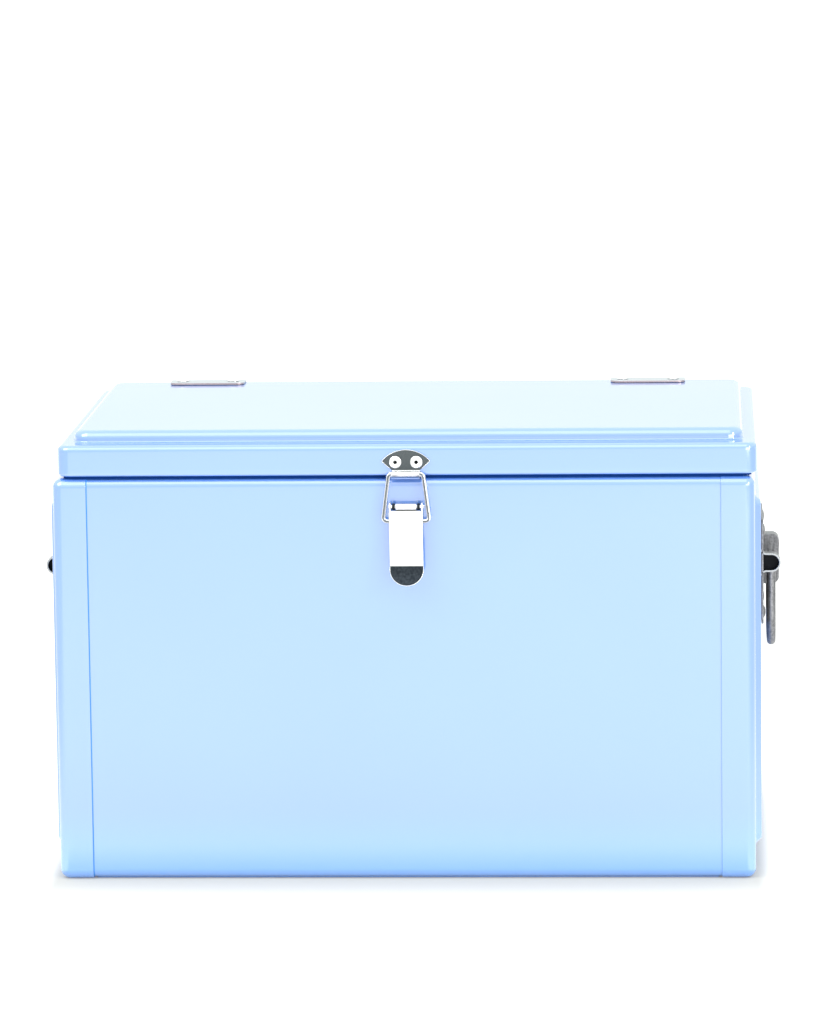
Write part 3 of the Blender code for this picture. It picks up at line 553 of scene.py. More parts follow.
def liner_tub():
    """Moulded tub: a flat rim, a rolled mouth, drafted walls and a floor with a soft radius."""
    low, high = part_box("liner_tub")
    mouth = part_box("lid_liner")[1]
    rim = ((low.x, low.y), (high.x, high.y))
    cavity = ((-SIDE + TUB_WALL, FRONT + TUB_WALL), (SIDE - TUB_WALL, BACK - TUB_WALL))
    bottom = low.z + 0.0020
    top = min(high.z, mouth.z) - 0.0002
    over = TUB_ROLL + HOLD
    rows = [(top, ring(*rim, TUB_RIM_CORNER)), (top, ring(*shrink(*cavity, -over), TUB_CORNER + over))]
    for inset, rise in arc((-TUB_ROLL, -TUB_ROLL), TUB_ROLL, 90, 0):
        rows.append((top + rise, ring(*shrink(*cavity, inset), TUB_CORNER - inset)))
    for inset, rise in arc((TUB_FOOT, TUB_FOOT), TUB_FOOT, 180, 270):
        corner = max(TUB_CORNER - inset, 0.004)
        rows.append((bottom + rise, ring(*shrink(*cavity, inset + TUB_DRAFT), corner)))
    rows.append((bottom, ring(*shrink(*cavity, TUB_FOOT + TUB_DRAFT + HOLD), 0.004)))
    body = grid(levels(rows), round_trip=True, cap=True)
    piece(
        "moulded_tub", body, [LINER], "chest", ["liner_tub"], "liner",
        sheet=TUB_SHEET, offset=1.0, edge=0.0003,
    )


# Lid

def lid_rings():
    """The lid's outer form from its turned-in lip up to the raised panel, as (height, ring) pairs."""
    low, high = (LID_LOW.x, FRONT), (LID_HIGH.x, BACK)
    bottom, top = LID_LOW.z, LID_HIGH.z
    rows = [(bottom, ring(*shrink(low, high, LID_LIP), LIP_CORNER))]
    rows.append((bottom, ring(*shrink(low, high, LID_CURL + BEND_START), LID_CORNER - LID_CURL)))
    for inset, rise in arc((LID_CURL, LID_CURL), LID_CURL, 270, 180):
        rows.append((bottom + rise, ring(*shrink(low, high, inset), LID_CORNER - inset)))
    rows.append((bottom + LID_CURL + HOLD, ring(low, high, LID_CORNER)))
    rows.append((SHELF - LID_FILLET - HOLD, ring(low, high, LID_CORNER)))
    for inset, rise in arc((LID_FILLET, -LID_FILLET), LID_FILLET, 180, 90):
        rows.append((SHELF + rise, ring(*shrink(low, high, inset), LID_CORNER - inset)))
    rows.append((SHELF, ring(*shrink(low, high, LID_FILLET + BEND_START), LID_CORNER - LID_FILLET)))
    low = (low[0] + RAISE_MARGIN.x, low[1] + RAISE_MARGIN.y)
    high = (high[0] - RAISE_MARGIN.x, high[1] - RAISE_MARGIN.y)
    rows.append((SHELF, ring(*shrink(low, high, -RAISE_FOOT - BEND_START), RAISE_CORNER + RAISE_FOOT)))
    for inset, rise in arc((-RAISE_FOOT, RAISE_FOOT), RAISE_FOOT, 270, 360):
        rows.append((SHELF + rise, ring(*shrink(low, high, inset), RAISE_CORNER - inset)))
    for inset, rise in arc((RAISE_FILLET, -RAISE_FILLET), RAISE_FILLET, 180, 90):
        rows.append((top + rise, ring(*shrink(low, high, inset), RAISE_CORNER - inset)))
    rows.append((top, ring(*shrink(low, high, RAISE_FILLET + HOLD), RAISE_CORNER - RAISE_FILLET)))
    return rows


def lid_shell():
    body = grid(levels(lid_rings()), round_trip=True, cap=True)
    piece("pressed_lid", body, [ENAMEL], "lid", ["lid_shell"], "enamel", sheet=SHEET, edge=CUT_EDGE, sharp=50)
    # painted shade: a dark flange inside the lid's lower edge, so the gap shows shadow colour
    low, high = shrink((LID_LOW.x, FRONT), (LID_HIGH.x, BACK), FLANGE_INSET)
    edge = ring(low, high, LIP_CORNER)
    flange = grid(levels((z, edge) for z in (BODY_TOP + FLANGE_GAP, LID_LOW.z + FLANGE_LAP)), round_trip=True)
    piece("turned_flange", flange, [GAP_SHADE], "lid", [], "enamel", sheet=SHEET)


def lid_liner():
    """Moulded inner panel of the lid with its shallow plug."""
    low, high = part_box("lid_liner")
    pan = high.z - 0.0018
    plug = ((-SIDE + PLUG_WALL, FRONT + PLUG_WALL), (SIDE - PLUG_WALL, BACK - PLUG_WALL))
    rows = [(pan, ring((low.x, low.y), (high.x, high.y), 0.006))]
    for inset, rise in arc((-PLUG_NECK, -PLUG_NECK), PLUG_NECK, 90, 0):
        rows.append((pan + rise, ring(*shrink(*plug, inset), PLUG_CORNER - inset)))
    for inset, rise in arc((PLUG_ROLL, PLUG_ROLL), PLUG_ROLL, 180, 270):
        rows.append((low.z + rise, ring(*shrink(*plug, inset + PLUG_DRAFT), PLUG_CORNER - inset)))
    rows.append((low.z, ring(*shrink(*plug, PLUG_ROLL + PLUG_DRAFT + HOLD), PLUG_CORNER - PLUG_ROLL)))
    body = grid(levels(rows), round_trip=True, cap=True)
    piece("moulded_lid_panel", body, [LINER], "lid", ["lid_liner"], "liner", sheet=PLUG_SHEET, edge=0.0003)


def lid_seal():
    """Rubber seal round the plug: a flat strip whose underside has two lips with a groove between."""
    low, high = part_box("lid_seal")
    across, tall = 0.006, high.z - low.z
    section = [(0.0, tall), (0.0004, tall * 0.55), (0.0, tall * 0.30), (0.0008, 0.0003), (0.0018, 0.0)]
    section += [(0.0026, tall * 0.22), (0.0034, tall * 0.22), (0.0042, 0.0), (0.0052, 0.0003)]
    section += [(across, tall * 0.30), (across - 0.0004, tall * 0.55), (across, tall)]
    rows = []
    for inset, rise in section:
        points = ring(*shrink((low.x, low.y), (high.x, high.y), inset), 0.012 - inset)
        rows.append([(a, b, low.z + rise) for a, b in points])
    piece(
        "ribbed_seal", grid(rows, round_trip=True, closed=True), [RUBBER], "lid", ["lid_seal"], "seal",
        edge=0.0002, sharp=35,
    )


# Strips, tubes, wires and rivets

def strip_rows(line, half, place, columns=2, lean=0.0):
    """Rows of a bent strip. Line holds (a, b) points or (a, b, half width) where the width changes."""
    rows = []
    for point in line:
        wide = point[2] if len(point) > 2 else half
        across = [wide * (2 * i / (columns - 1) - 1) for i in range(columns)]
        rows.append([place(point[0], point[1], t + lean) for t in across])
    return rows


def lathe(profile, origin, outward, sides=32):
    """A turned solid from (radius, height) points, standing on origin and pointing outward."""
    body = bmesh.new()
    points = [body.verts.new((r, 0.0, z)) for r, z in profile]
    edges = [body.edges.new(pair) for pair in zip(points, points[1:])]
    bmesh.ops.spin(
        body, geom=points + edges, cent=(0, 0, 0), axis=(0, 0, 1), angle=2 * pi, steps=sides, use_merge=True
    )
    bmesh.ops.remove_doubles(body, verts=body.verts, dist=MERGE)
    turn = Vector(outward).to_track_quat("Z", "Y").to_matrix().to_4x4()
    bmesh.ops.transform(body, matrix=Matrix.Translation(origin) @ turn, verts=body.verts)
    return body


def prism(outline, place, low, high):
    """A closed solid between two copies of a flat outline."""
    body = bmesh.new()
    ends = [[body.verts.new(place(a, b, t)) for a, b in outline] for t in (low, high)]
    for end in ends:
        body.faces.new(end)
    for i in range(len(outline)):
        j = (i + 1) % len(outline)
        body.faces.new((ends[0][i], ends[0][j], ends[1][j], ends[1][i]))
    return body


def tube(start, end, outer, inner=0.0, ease=0.0002):
    """A turned bar or tube between two points, its rims eased."""
    start, end = Vector(start), Vector(end)
    long = (end - start).length
    rim = [(outer - ease, long), (outer, long - ease), (outer, ease), (outer - ease, 0.0)]
    if inner:
        profile = rim + [(inner + ease, 0.0), (inner, ease), (inner, long - ease), (inner + ease, long)]
        profile.append(profile[0])
    else:
        profile = [(0.0, long)] + rim + [(0.0, 0.0)]
    return lathe(profile, start, end - start)


def rounded_path(points, radius, count=8):
    """A path through 3D points with its inner corners replaced by arcs."""
    points = [Vector(p) for p in points]
    path = [points[0]]
    for before, corner, after in zip(points, points[1:], points[2:]):
        one, two = (before - corner).normalized(), (after - corner).normalized()
        half = one.angle(two) / 2
        room = 0.49 * min((before - corner).length, (after - corner).length)
        reach = min(radius * cos(half) / sin(half), room)
        inner = reach * sin(half) / cos(half)
        centre = corner + (one + two).normalized() * sqrt(reach * reach + inner * inner)
        start, end = corner + one * reach - centre, corner + two * reach - centre
        for i in range(count + 1):
            path.append(centre + start.normalized().slerp(end.normalized(), i / count) * inner)
    path.append(points[-1])
    return path


def wire_body(points, radius, sides=20):
    """A round wire along a path, with eased ends, as rings carried along without twist."""
    points = [Vector(p) for p in points]
    rows, side = [], None
    for i, point in enumerate(points):
        ahead = (points[min(i + 1, len(points) - 1)] - points[max(i - 1, 0)]).normalized()
        if side is None:
            side = ahead.orthogonal().normalized()
        side = (side - ahead * side.dot(ahead)).normalized()
        up = ahead.cross(side)
        rows.append((point, ahead, side, up))

    def circle(row, size, shift):
        point, ahead, side, up = row
        turns = [2 * pi * k / sides for k in range(sides)]
        return [point + ahead * shift + (side * cos(a) + up * sin(a)) * size for a in turns]

    ease = radius * 0.25
    rings = [circle(rows[0], radius - ease, 0.0), circle(rows[0], radius, ease)]
    rings += [circle(row, radius, 0.0) for row in rows[1:-1]]
    rings += [circle(rows[-1], radius, -ease), circle(rows[-1], radius - ease, 0.0)]
    body = grid(rings, round_trip=True, cap=True)
    body.verts.ensure_lookup_table()
    body.faces.new([body.verts[k] for k in reversed(range(sides))])
    return body


def rivet_profile(radius, rise):
    """Blind rivet seen from outside: a low domed flange, an eye and the broken end of its mandrel."""
    eye = radius * RIVET_EYE
    turns = [radians(15 * i) for i in range(6)]
    dome = [(radius * cos(a), rise * 0.25 + rise * 0.75 * sin(a)) for a in turns]
    dome = [point for point in dome if point[0] > eye + TINY]
    profile = [(0.0, rise * 0.30), (eye * 0.55, rise * 0.28), (eye * 0.60, rise * 0.05), (eye, rise * 0.05)]
    profile += [(eye, rise * 0.90), (eye + TINY, rise)]
    return profile + dome[::-1] + [(radius, 0.0), (0.0, 0.0)]


RIVET_FAMILIES = (
    ("catch_rivet", (0, -1, 0), "lid", "zinc"),
    ("hinge_lid_rivet", (0, 0, 1), "lid", "zinc"),
    ("hinge_body_rivet", (0, 1, 0), "chest", "zinc"),
    ("latch_base_rivet", (0, -1, 0), "chest", "zinc"),
    ("handle_left_rivet", (-1, 0, 0), "chest", "galvanised"),
    ("handle_right_rivet", (1, 0, 0), "chest", "galvanised"),
)


def rivets():
    for family, outward, body, slot in RIVET_FAMILIES:
        outward = Vector(outward)
        for node in sorted(n for n in frame["nodes"] if n.startswith(family)):
            low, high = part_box(node)
            middle = (low + high) / 2
            reach = abs((high - low).dot(outward)) / 2
            seat = middle + outward * (reach - RIVET_RISE)
            dome = lathe(rivet_profile(RIVET_RADIUS, RIVET_RISE), seat, outward, 36)
            look = GALVANISED if slot == "galvanised" else ZINC
            made = piece("domed_" + node, dome, [look, HOLLOW_SHADE], body, [node], slot, sharp=40)

            def recessed(face, middle=middle, outward=outward):
                away = face.center - middle
                return (away - outward * away.dot(outward)).length < RIVET_RADIUS * RIVET_EYE

            # painted shade: the faces round the rivet's eye and mandrel recess take the near-black material
            split_looks(made, recessed)


# Hinges

def lid_leaf(word, middle, half):
    """The leaf that is bent over the lid's steps and narrows to its knuckle."""
    node = "hinge_lid_leaf_" + word
    front, rise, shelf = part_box(node)[0].y, LID_HIGH.z + PART_GAP, SHELF + PART_GAP
    edge, rear = BACK - RAISE_MARGIN.y + PART_GAP, BACK + PART_GAP
    crest, tab = RAISE_FILLET + PART_GAP, KNUCKLE_LONG / 2
    line = []
    for i in range(ARC_STEPS + 1):
        t = radians(90 * i / ARC_STEPS)
        line.append((front + LEAF_NOSE * (1 - cos(t)), rise, half - LEAF_NOSE * (1 - sin(t))))
    line += arc((edge - crest, rise - crest), crest, 90, 0)
    line += arc((edge + LEAF_FOOT, shelf + LEAF_FOOT), LEAF_FOOT, 180, 270)
    line += arc((rear - LEAF_BEND, shelf - LEAF_BEND), LEAF_BEND, 90, 0)
    line.append((rear, HINGE_AXIS.z + LEAF_END))
    line += [(rear, HINGE_AXIS.z + TAB_START, tab), (rear, HINGE_AXIS.z, tab)]
    rows = strip_rows(line, half, lambda a, b, t: (middle + t, a, b), LEAF_COLUMNS)
    strap = piece(
        "strap_leaf_" + word, grid(rows), [HINGE_ZINC, BROWN_FRONT_ZINC], "lid", [node], "zinc", **HINGE_SHEET
    )
    # the strap's front-facing faces take the brownish zinc
    split_looks(strap, lambda face: face.normal.y < -FRONT_FACING)


def knuckle(name, rides, start, end):
    """A rolled knuckle on the hinge's axis."""
    ends = [(x, HINGE_AXIS.y, HINGE_AXIS.z) for x in (start, end)]
    piece(name, tube(*ends, KNUCKLE, KNUCKLE_BORE), [HINGE_ZINC], rides, [], "zinc", sharp=40)


def wall_leaf(word, middle, half):
    """The leaf on the back panel, with the webs that carry its two outer knuckles."""
    node = "hinge_body_leaf_" + word
    bottom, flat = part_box(node)[0].z, BACK - PANEL_OUT + 0.0001

    def place(a, b, t):
        return (middle + t, a, b)

    line = [(flat, HINGE_AXIS.z - TAB_START)]
    for i in range(ARC_STEPS + 1):
        t = radians(90 * i / ARC_STEPS)
        line.append((flat, bottom + LEAF_CORNER * (1 - sin(t)), half - LEAF_CORNER * (1 - cos(t))))
    body = grid(strip_rows(line, half, place, LEAF_COLUMNS))
    piece("wall_leaf_" + word, body, [HINGE_ZINC], "chest", [node], "zinc", **HINGE_SHEET)
    line = [(flat, HINGE_AXIS.z - WEB_START), (flat, HINGE_AXIS.z)]
    inner = KNUCKLE_LONG / 2 + PART_GAP
    for tag, start, end in (("a", -half, -inner), ("b", inner, half)):
        web = grid(strip_rows(line, (end - start) / 2, place, 3, lean=(start + end) / 2))
        piece(f"knuckle_web_{word}_{tag}", web, [HINGE_ZINC], "chest", [], "zinc", **HINGE_SHEET)
        knuckle(f"knuckle_{word}_{tag}", "chest", middle + start, middle + end)


def hinge(word):
    """Strap hinge: a leaf on the lid, a leaf on the back, knuckles and a pin."""
    low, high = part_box("hinge_lid_leaf_" + word)
    middle, half = (low.x + high.x) / 2, (high.x - low.x) / 2
    lid_leaf(word, middle, half)
    knuckle("mid_knuckle_" + word, "lid", middle - KNUCKLE_LONG / 2, middle + KNUCKLE_LONG / 2)
    wall_leaf(word, middle, half)
    node = "hinge_pin_" + word
    low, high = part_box(node)
    ends = [(x, HINGE_AXIS.y, HINGE_AXIS.z) for x in (low.x, high.x)]
    pin = tube(*ends, (high.z - low.z) / 2, ease=0.0004)
    piece("turned_pin_" + word, pin, [ZINC], "chest", [node], "zinc", sharp=40)


# Latch

def latch_place(a, b, t):
    """A point a in front of the body's front plane, at height b, t to the right of the latch's middle."""
    return (LATCH_X + t, FRONT - a, b)


def catch_rows():
    """The catch from its crown down and round the hook, as (reach, height, half width)."""
    half = (CATCH_HIGH.x - CATCH_LOW.x) / 2
    top, tip = CATCH_HIGH.z, CATCH_HIGH.z - CROWN_RISE
    shoulder = tip - SHOULDER
    crown = (half ** 2 + (top - tip) ** 2) / (2 * (top - tip))
    rows = []
    for i in range(CROWN_STEPS + 1):
        across = half * sin(radians(90 * i / CROWN_STEPS))
        rows.append((CATCH_BACK, top - crown + sqrt(crown ** 2 - across ** 2), max(across, TINY_HALF)))
    rows.append((CATCH_BACK, shoulder, half - 0.0001))
    for i in range(1, WAIST_STEPS + 1):
        t = i / WAIST_STEPS
        rows.append((CATCH_BACK, shoulder + (HOOK_TOP - shoulder) * t, half + (WAIST - half) * t))
    centre = (FRONT - BAIL_BAR.y + BAIL_END.y - PIVOT.y, BAIL_BAR.z + PIVOT.z - BAIL_END.z)
    sweep = (PIVOT - BAIL_END).length + BAIL_WIRE + HOOK_ROOM + PLATE
    bend = (CATCH_BACK + HOOK_BEND, centre[1] - sweep + HOOK_BEND)
    rows += [(a, b, HOOK_HALF) for a, b in arc(bend, HOOK_BEND, 180, 258)]
    rows += [(a, b, HOOK_HALF) for a, b in arc(centre, sweep, -90, HOOK_SWEEP - 90, HOOK_STEPS)]
    last = FRONT - CATCH_LOW.y - 0.0002
    return [row for row in rows if row[0] <= last]


def catch():
    """Fan-shaped catch, its lower edge bent out into the hook that holds the bail."""
    rows = catch_rows()
    body = grid(strip_rows(rows, HOOK_HALF, latch_place, 14))
    made = piece(
        "fan_catch", body, [DARK_REFLECTION_ZINC, ZINC], "lid", ["catch_plate"], "zinc",
        sheet=PLATE, offset=0.0, edge=CATCH_EDGE, sharp=50,
    )
    # painted light on one sheet: the fan face is the dark zinc, while its edges and the hook below HOOK_GLINT
    # are bright zinc as painted highlights
    split_looks(made, lambda face: abs(face.normal.y) < 0.85 or face.center.z < HOOK_GLINT)
    # painted highlight: a thin bright wire along the fan's upper edges
    edge = [row for row in rows if row[0] == CATCH_BACK and row[1] > RIM_END]
    path = [latch_place(CATCH_BACK + PLATE, b, -wide) for _, b, wide in edge[::-1]]
    path += [latch_place(CATCH_BACK + PLATE, b, wide) for _, b, wide in edge]
    piece("fan_rim", wire_body(path, RIM_HIGHLIGHT_WIRE, 10), [ZINC], "lid", [], "zinc", sharp=50)


def latch_base():
    """Base strip with its rolled knuckle, the pivot pin and a washer at each end; the strip and washers are
    near black as painted shade in the notches beside the knuckle.
    """
    node = "latch_base"
    low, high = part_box(node)
    half = (high.x - low.x) / 2
    back = -PANEL_OUT + 0.0001
    pivot = (FRONT - PIVOT.y, PIVOT.z)
    line = [(back, low.z), (back, pivot[1] - 0.0064), (back + 0.0008, pivot[1] - 0.0048)]
    line += [(back + 0.0024, pivot[1] - 0.0032), (pivot[0] - 0.0010, pivot[1] - 0.0019)]
    body = grid(strip_rows(line, half, latch_place, 6))
    piece("pressed_base", body, [SHADE_AND_REFLECTION_ZINC], "chest", [node], "zinc", sheet=PLATE, offset=0.0, edge=CUT_EDGE)
    roller = tube(latch_place(*pivot, -half), latch_place(*pivot, half), KNUCKLE_ROLL, PIVOT_BORE)
    piece("rolled_knuckle", roller, [ZINC], "chest", [], "zinc", sharp=40)
    node = "latch_pivot_pin"
    low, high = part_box(node)
    pin = tube(
        (low.x, PIVOT.y, PIVOT.z), (high.x, PIVOT.y, PIVOT.z), (high.z - low.z) / 2, ease=0.0005
    )
    piece("headed_pivot_pin", pin, [ZINC], "chest", [node], "zinc", sharp=40)
    for tag, side in (("left", -1), ("right", 1)):
        ends = [latch_place(*pivot, side * out) for out in (half + 0.0004, 0.0088)]
        washer = tube(*ends, WASHER, PIVOT_BORE)
        piece("pivot_washer_" + tag, washer, [SHADE_AND_REFLECTION_ZINC], "chest", [], "zinc", sharp=40)


def lever_outline():
    """(height, half width) pairs down the lever: a shoulder, straight flanks and a round lip."""
    waist = LEVER_TOP - LEVER_SHOULDER
    round_top = LEVER_END + LIP_ROUND
    rows = []
    for i in range(5):
        rows.append((LEVER_TOP - LEVER_SHOULDER * i / 4, LEVER_HALF - LEVER_WAIST * (1 - i / 4) ** 2))
    rows += [(waist + (CREASE - waist) * i / 12, LEVER_HALF) for i in range(1, 13)]
    rows += [(CREASE + (round_top - CREASE) * i / 3, LEVER_HALF) for i in range(1, 4)]
    for i in range(1, 15):
        t = radians(90 * i / 14)
        rows.append((round_top + (LEVER_END - round_top) * sin(t), max(LEVER_HALF * cos(t), TINY_HALF)))
    return rows


def lever_reach(b):
    """How far the lever's face stands out at height b: a flat grip, a crease and a flared lip."""
    profile = [(0.0072, LEVER_TOP), (0.00945, CREASE + 0.0006), (0.0099, CREASE - 0.0006)]
    profile += [(0.0122, CREASE - 0.0063), (0.0156, LEVER_END)]
    for (a0, b0), (a1, b1) in zip(profile, profile[1:]):
        if b0 >= b >= b1:
            return a0 + (a1 - a0) * (b0 - b) / (b0 - b1)
    return profile[-1][0]


def leaning(a, b, t):
    """A latch place on the lever, which leans a little to the right."""
    return latch_place(a, b, t + (PIVOT.z - b) * LEVER_LEAN - LEVER_SHIFT)


def lever_ears():
    """The two folded flanks that hold the pivot pin."""
    outline = [(0.0076, LEVER_TOP - 0.0004), (0.0088, CREASE + 0.0140), (0.0062, CREASE + 0.0160)]
    outline.append((0.0022, PIVOT.z - 0.0134))
    outline += arc((FRONT - PIVOT.y, PIVOT.z), EAR_ROUND, 200, 20, 14)
    for tag, low in (("left", -LEVER_HALF), ("right", LEVER_HALF - PLATE)):
        body = prism(outline, latch_place, low, low + PLATE)
        ear = piece(
            "lever_ear_" + tag, body, [ZINC, HOLLOW_SHADE], "lever", [], "zinc", edge=CUT_EDGE, sharp=50
        )
        # painted shade: the ears' inner faces, facing the grip, are near black
        split_looks(ear, lambda face, low=low: face.normal.x * low < -0.5 * abs(low))


def lever():
    """Channel-shaped lever: a flat grip with folded flanks, two ears and a flared finger lip."""
    rows = lever_outline()
    line = [(lever_reach(b), b, wide) for b, wide in rows]
    made = piece(
        "lever_grip", grid(strip_rows(line, LEVER_HALF, leaning, 14)), [ZINC, SHADE_AND_REFLECTION_ZINC], "lever",
        ["latch_lever"], "zinc", sheet=PLATE, offset=0.0, edge=0.0003, sharp=14,
    )
    # painted reflection: the lip's front faces below the crease are near black, standing in for the dark the
    # flared lip mirrors
    split_looks(made, lambda face: face.normal.y < -0.85 and face.center.z < CREASE - 0.0004)
    # painted highlight: a thin bright wire round the edge of the lip
    lip = [row for row in rows if row[0] < CREASE]
    path = [leaning(lever_reach(b) + PLATE / 2, b, -wide) for b, wide in lip]
    path += [leaning(lever_reach(b) + PLATE / 2, b, wide) for b, wide in lip[::-1]]
    piece("lip_rim", wire_body(path, RIM_HIGHLIGHT_WIRE, 10), [ZINC], "lever", [], "zinc", sharp=50)
    lever_ears()


def bail():
    """Bent wire loop, its feet turned inwards through the lever's ears."""
    feet, bar = (FRONT - BAIL_END.y, BAIL_END.z), (FRONT - BAIL_BAR.y, BAIL_BAR.z)
    path = []
    for s in (-1, 1):
        leg = [
            latch_place(*feet, s * 0.0090), latch_place(*feet, s * BAIL_LOW_HALF),
            latch_place(*bar, s * BAIL_TOP_HALF),
        ]
        path += leg if s < 0 else leg[::-1]
    body = wire_body(rounded_path(path, 0.0028, 10), BAIL_WIRE)
    made = piece("bent_bail", body, [ZINC, WIRE_REFLECTION_ZINC], "bail", ["latch_bail"], "zinc", sharp=50)
    # painted reflection: faces looking straight forward take the darker zinc, a dark streak down the front of
    # the wire
    split_looks(made, lambda face: face.normal.y < -0.90)


# Handles

def backing_plate(word, place, y, half):
    node = "handle_plate_" + word
    low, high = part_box(node)
    points = ring((y - half, low.z), (y + half, high.z), BACKING_CORNER)
    body = bmesh.new()
    body.faces.new([body.verts.new(place(PART_GAP + BACKING_SHEET, a, b)) for a, b in points])
    piece(
        "backing_plate_" + word, body, [GALVANISED], "chest", [node], "galvanised",
        sheet=BACKING_SHEET, offset=0.0, edge=0.0002, sharp=50,
    )


def rolled_eyes(word, place, y, z, half):
    """Two strips rolled round the bail's ends; their inner faces and a web inside each are near black as
    painted shade.
    """
    foot = BACKING_SHEET * 0.8 + EYE_FOOT
    line = arc((foot, z - EYE_NOSE - EYE_FOOT), EYE_FOOT, 180, 90)
    line += arc((EYE_OUT - EYE_NOSE, z), EYE_NOSE, -90, 90, 24)
    line += arc((foot, z + EYE_NOSE + EYE_FOOT), EYE_FOOT, 270, 180)
    under = [(a - EYE_WEB, b) for a, b in line]
    for tag, s in (("near", -1), ("far", 1)):
        middle = y + s * (half - EYE_LONG / 2)
        rows = [[place(a, middle + t, b) for t in (-EYE_LONG / 2, EYE_LONG / 2)] for a, b in line]
        eye = piece(
            f"rolled_eye_{word}_{tag}", grid(rows), [GALVANISED, HOLLOW_SHADE, SHEARED_EDGE_HIGHLIGHT], "chest", [], "galvanised",
            sheet=EYE_SHEET, offset=0.0, edge=0.0002, sharp=50, inner=1,
        )
        # the eyes' cut end faces take the lighter steel, partly the sheared edge's own colour and partly a
        # painted highlight
        for face in eye.data.polygons:
            if abs(face.normal.y) > 0.6:
                face.material_index = 2
        # painted shade: a near-black web across each eye's tunnel
        inside = middle - s * EYE_LONG * 0.2
        web = prism(under, lambda a, b, t: place(a, t, b), inside - EYE_WEB, inside + EYE_WEB)
        piece(f"eye_web_{word}_{tag}", web, [HOLLOW_SHADE], "chest", [], "galvanised")


def stop_block(word, place, y):
    """A block with round shoulders in the middle of the plate."""
    shoulder = BOSS_OUT - BOSS_SOFT
    line = [(PART_GAP, BOSS_Z[0])] + arc((shoulder, BOSS_Z[0] + BOSS_SOFT), BOSS_SOFT, -90, 0)
    line += arc((shoulder, BOSS_Z[1] - BOSS_SOFT), BOSS_SOFT, 0, 90) + [(PART_GAP, BOSS_Z[1])]
    block = prism(line, lambda a, b, t: place(a, t, b), y - BOSS_HALF_Y, y + BOSS_HALF_Y)
    piece("stop_block_" + word, block, [GALVANISED], "chest", [], "galvanised", edge=0.0005, sharp=50)


def drop_bail(word, place, out, y, z, half):
    """A wire bail that hangs from the eyes, its two ends turned into them."""
    leg, low_z, tail = HANDLE_LEG, z - HANDLE_DROP, half - HANDLE_TAIL
    path = [
        place(out, y - tail, z), place(out, y - leg, z), place(out, y - leg, low_z),
        place(out, y + leg, low_z), place(out, y + leg, z), place(out, y + tail, z),
    ]
    near = rounded_path(path[:3], HANDLE_NECK)[:-1]
    low = rounded_path(path[1:5], HANDLE_CORNER, 12)[1:-1]
    far = rounded_path(path[3:], HANDLE_NECK)[1:]
    body = wire_body(near + low + far, HANDLE_WIRE, 24)
    rides = word + "_handle"
    piece("drop_bail_" + word, body, [GALVANISED], rides, ["handle_bail_" + word], "galvanised", sharp=50)


def handle(side, word):
    """Side handle: a plate with two rolled eyes and a stop block, and a wire bail that drops in them."""
    joint = JOINTS[word + "_handle_swing"]
    low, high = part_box("handle_plate_" + word)
    panel, half = side * (SIDE + EMBOSS), (high.y - low.y) / 2

    def place(out, a, b):
        return (panel + side * out, a, b)

    backing_plate(word, place, joint.y, half)
    rolled_eyes(word, place, joint.y, joint.z, half)
    stop_block(word, place, joint.y)
    drop_bail(word, place, abs(joint.x) - abs(panel), joint.y, joint.z, half)


# Pieces that keep their CAD shape

def dress(node, look):
    mesh = frame["nodes"][node].data
    mesh.materials.clear()
    mesh.materials.append(look)


# Stage, lights and camera

def floor():
    """White paper that glows, more away from the chest and less again far out on both sides of it: the dim
    glow near the chest is a painted contact shadow, and the dimmer glow to the sides is painted shade for the
    chest's sides.
    """
    body = bmesh.new()
    bmesh.ops.create_grid(body, x_segments=1, y_segments=1, size=FLOOR_HALF)
    mesh = bpy.data.meshes.new("floor")
    body.to_mesh(mesh)
    body.free()
    made = bpy.data.objects.new("floor", mesh)
    bpy.context.scene.collection.objects.link(made)
    paper = node_material(
        "white_floor", FLOOR_PAINT, 0.9, Specular_IOR_Level=0.1, Emission_Color=(1.0, 1.0, 1.0, 1.0)
    )
    place = add_node(paper, "ShaderNodeTexCoord").outputs["Object"]
    size = add_node(paper, "ShaderNodeVectorMath", {0: place}, operation="ABSOLUTE").outputs["Vector"]
    past = size
    for operation, other in (
        ("SUBTRACT", (SIDE, BACK, 0.0)), ("MAXIMUM", (0.0, 0.0, 0.0)), ("MULTIPLY", FLOOR_FADE_SCALE)
    ):
        past = add_node(
            paper, "ShaderNodeVectorMath", {0: past, 1: other}, operation=operation
        ).outputs["Vector"]
    away = add_node(paper, "ShaderNodeVectorMath", {0: past}, operation="LENGTH").outputs["Value"]
    aside = add_node(paper, "ShaderNodeSeparateXYZ", {"Vector": size}).outputs["X"]
    behind = add_node(paper, "ShaderNodeSeparateXYZ", {"Vector": place}).outputs["Y"]
    soft = {"interpolation_type": "SMOOTHSTEP"}
    glow = map_range(paper, away, 0.0, FLOOR_FADE, *FLOOR_GLOW, **soft)
    beside = map_range(paper, aside, *SIDE_FADE, 1.0, SIDE_GLOW, **soft)
    rear = map_range(paper, behind, *REAR_FADE, 0.0, 1.0, **soft)
    kept = add_node(paper, "ShaderNodeMath", {0: beside, 1: rear}, operation="MAXIMUM").outputs["Value"]
    both = add_node(paper, "ShaderNodeMath", {0: glow, 1: kept}, operation="MULTIPLY").outputs["Value"]
    shader_input(paper, "Emission Strength", both)
    mesh.materials.append(paper)


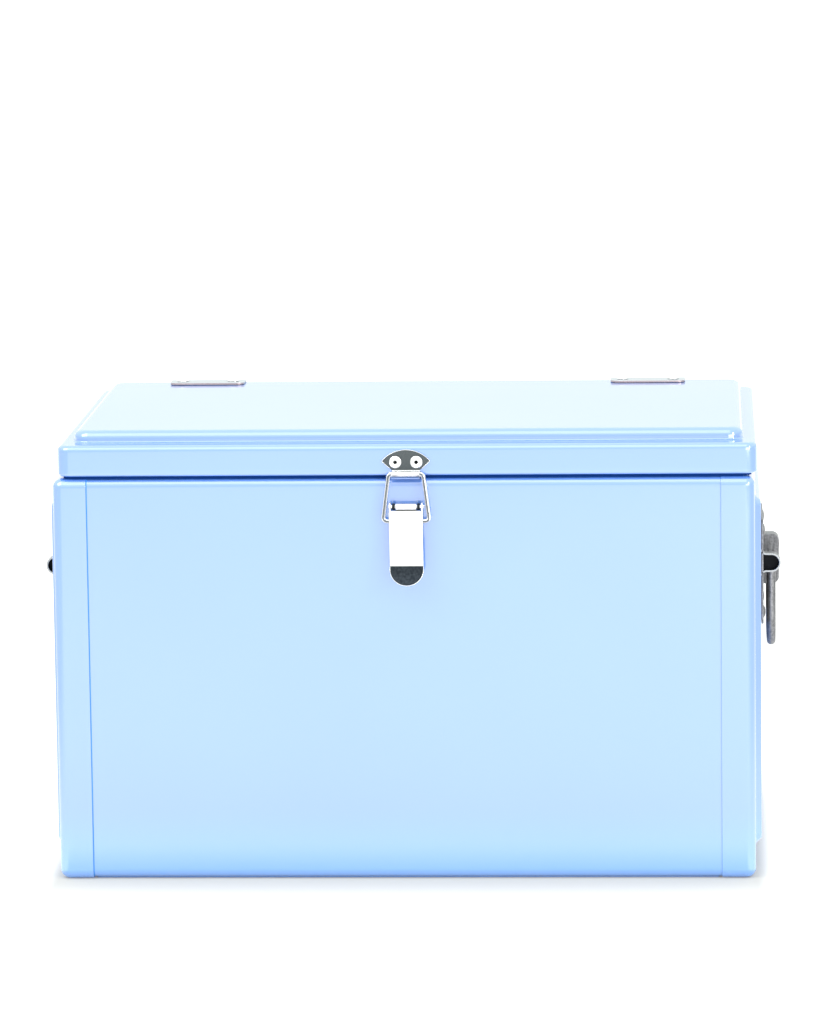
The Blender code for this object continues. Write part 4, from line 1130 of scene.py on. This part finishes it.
def sky():
    """A soft sky that brightens upwards; the camera sees plain white beyond the floor."""
    world = bpy.data.worlds.new("studio")
    world.use_nodes = True
    tree = world.node_tree
    soft = tree.nodes["Background"]
    soft.inputs["Color"].default_value = (*SKY_COLOUR, 1.0)
    toward = tree.nodes.new("ShaderNodeTexCoord")
    split = tree.nodes.new("ShaderNodeSeparateXYZ")
    rise = tree.nodes.new("ShaderNodeMapRange")
    rise.interpolation_type = "SMOOTHSTEP"
    for socket, value in zip(("From Min", "From Max", "To Min", "To Max"), (*SKY_FADE, *SKY)):
        rise.inputs[socket].default_value = value
    tree.links.new(toward.outputs["Generated"], split.inputs["Vector"])
    tree.links.new(split.outputs["Z"], rise.inputs["Value"])
    tree.links.new(rise.outputs["Result"], soft.inputs["Strength"])
    white = tree.nodes.new("ShaderNodeBackground")
    white.inputs["Strength"].default_value = BACKDROP
    ray = tree.nodes.new("ShaderNodeLightPath")
    mix = tree.nodes.new("ShaderNodeMixShader")
    tree.links.new(ray.outputs["Is Camera Ray"], mix.inputs[0])
    tree.links.new(soft.outputs[0], mix.inputs[1])
    tree.links.new(white.outputs[0], mix.inputs[2])
    tree.links.new(mix.outputs[0], tree.nodes["World Output"].inputs["Surface"])
    bpy.context.scene.world = world


def softbox(name, place, aim, size, power):
    """A rectangular area light that the camera doesn't see."""
    lamp = bpy.data.lights.new(name, "AREA")
    lamp.shape = "RECTANGLE"
    lamp.size, lamp.size_y = size
    lamp.energy = power
    made = bpy.data.objects.new(name, lamp)
    bpy.context.scene.collection.objects.link(made)
    made.location = place
    made.rotation_euler = (Vector(aim) - Vector(place)).to_track_quat("-Z", "Y").to_euler()
    made.visible_camera = False


def lights():
    for name, place, aim, size, power in SOFTBOXES:
        softbox(name, place, aim, size, power)


def camera():
    lens = bpy.data.cameras.new("camera")
    lens.lens = LENS
    lens.sensor_width = SENSOR
    lens.clip_end = 50.0
    made = bpy.data.objects.new("camera", lens)
    bpy.context.scene.collection.objects.link(made)
    made.location = CAMERA_PLACE
    made.rotation_euler = tuple(radians(turn) for turn in CAMERA_TURN)
    bpy.context.scene.camera = made
    bpy.context.scene.view_settings.view_transform = "Standard"


for old in [o for o in bpy.data.objects if o.type in ("LIGHT", "CAMERA")]:
    bpy.data.objects.remove(old, do_unlink=True)
for side, word in ((-1, "left"), (1, "right")):
    end_cap(side, word)
channel(-1, "rolled_front_panel", "front_panel")
channel(1, "rolled_back_panel", "back_panel")
liner_tub()
lid_shell()
lid_liner()
lid_seal()
for word in ("left", "right"):
    hinge(word)
catch()
latch_base()
lever()
bail()
for side, word in ((-1, "left"), (1, "right")):
    handle(side, word)
rivets()
dress("base_pan", ENAMEL)
dress("body_foam", FOAM)
dress("lid_foam", FOAM)
floor()
sky()
lights()
camera()
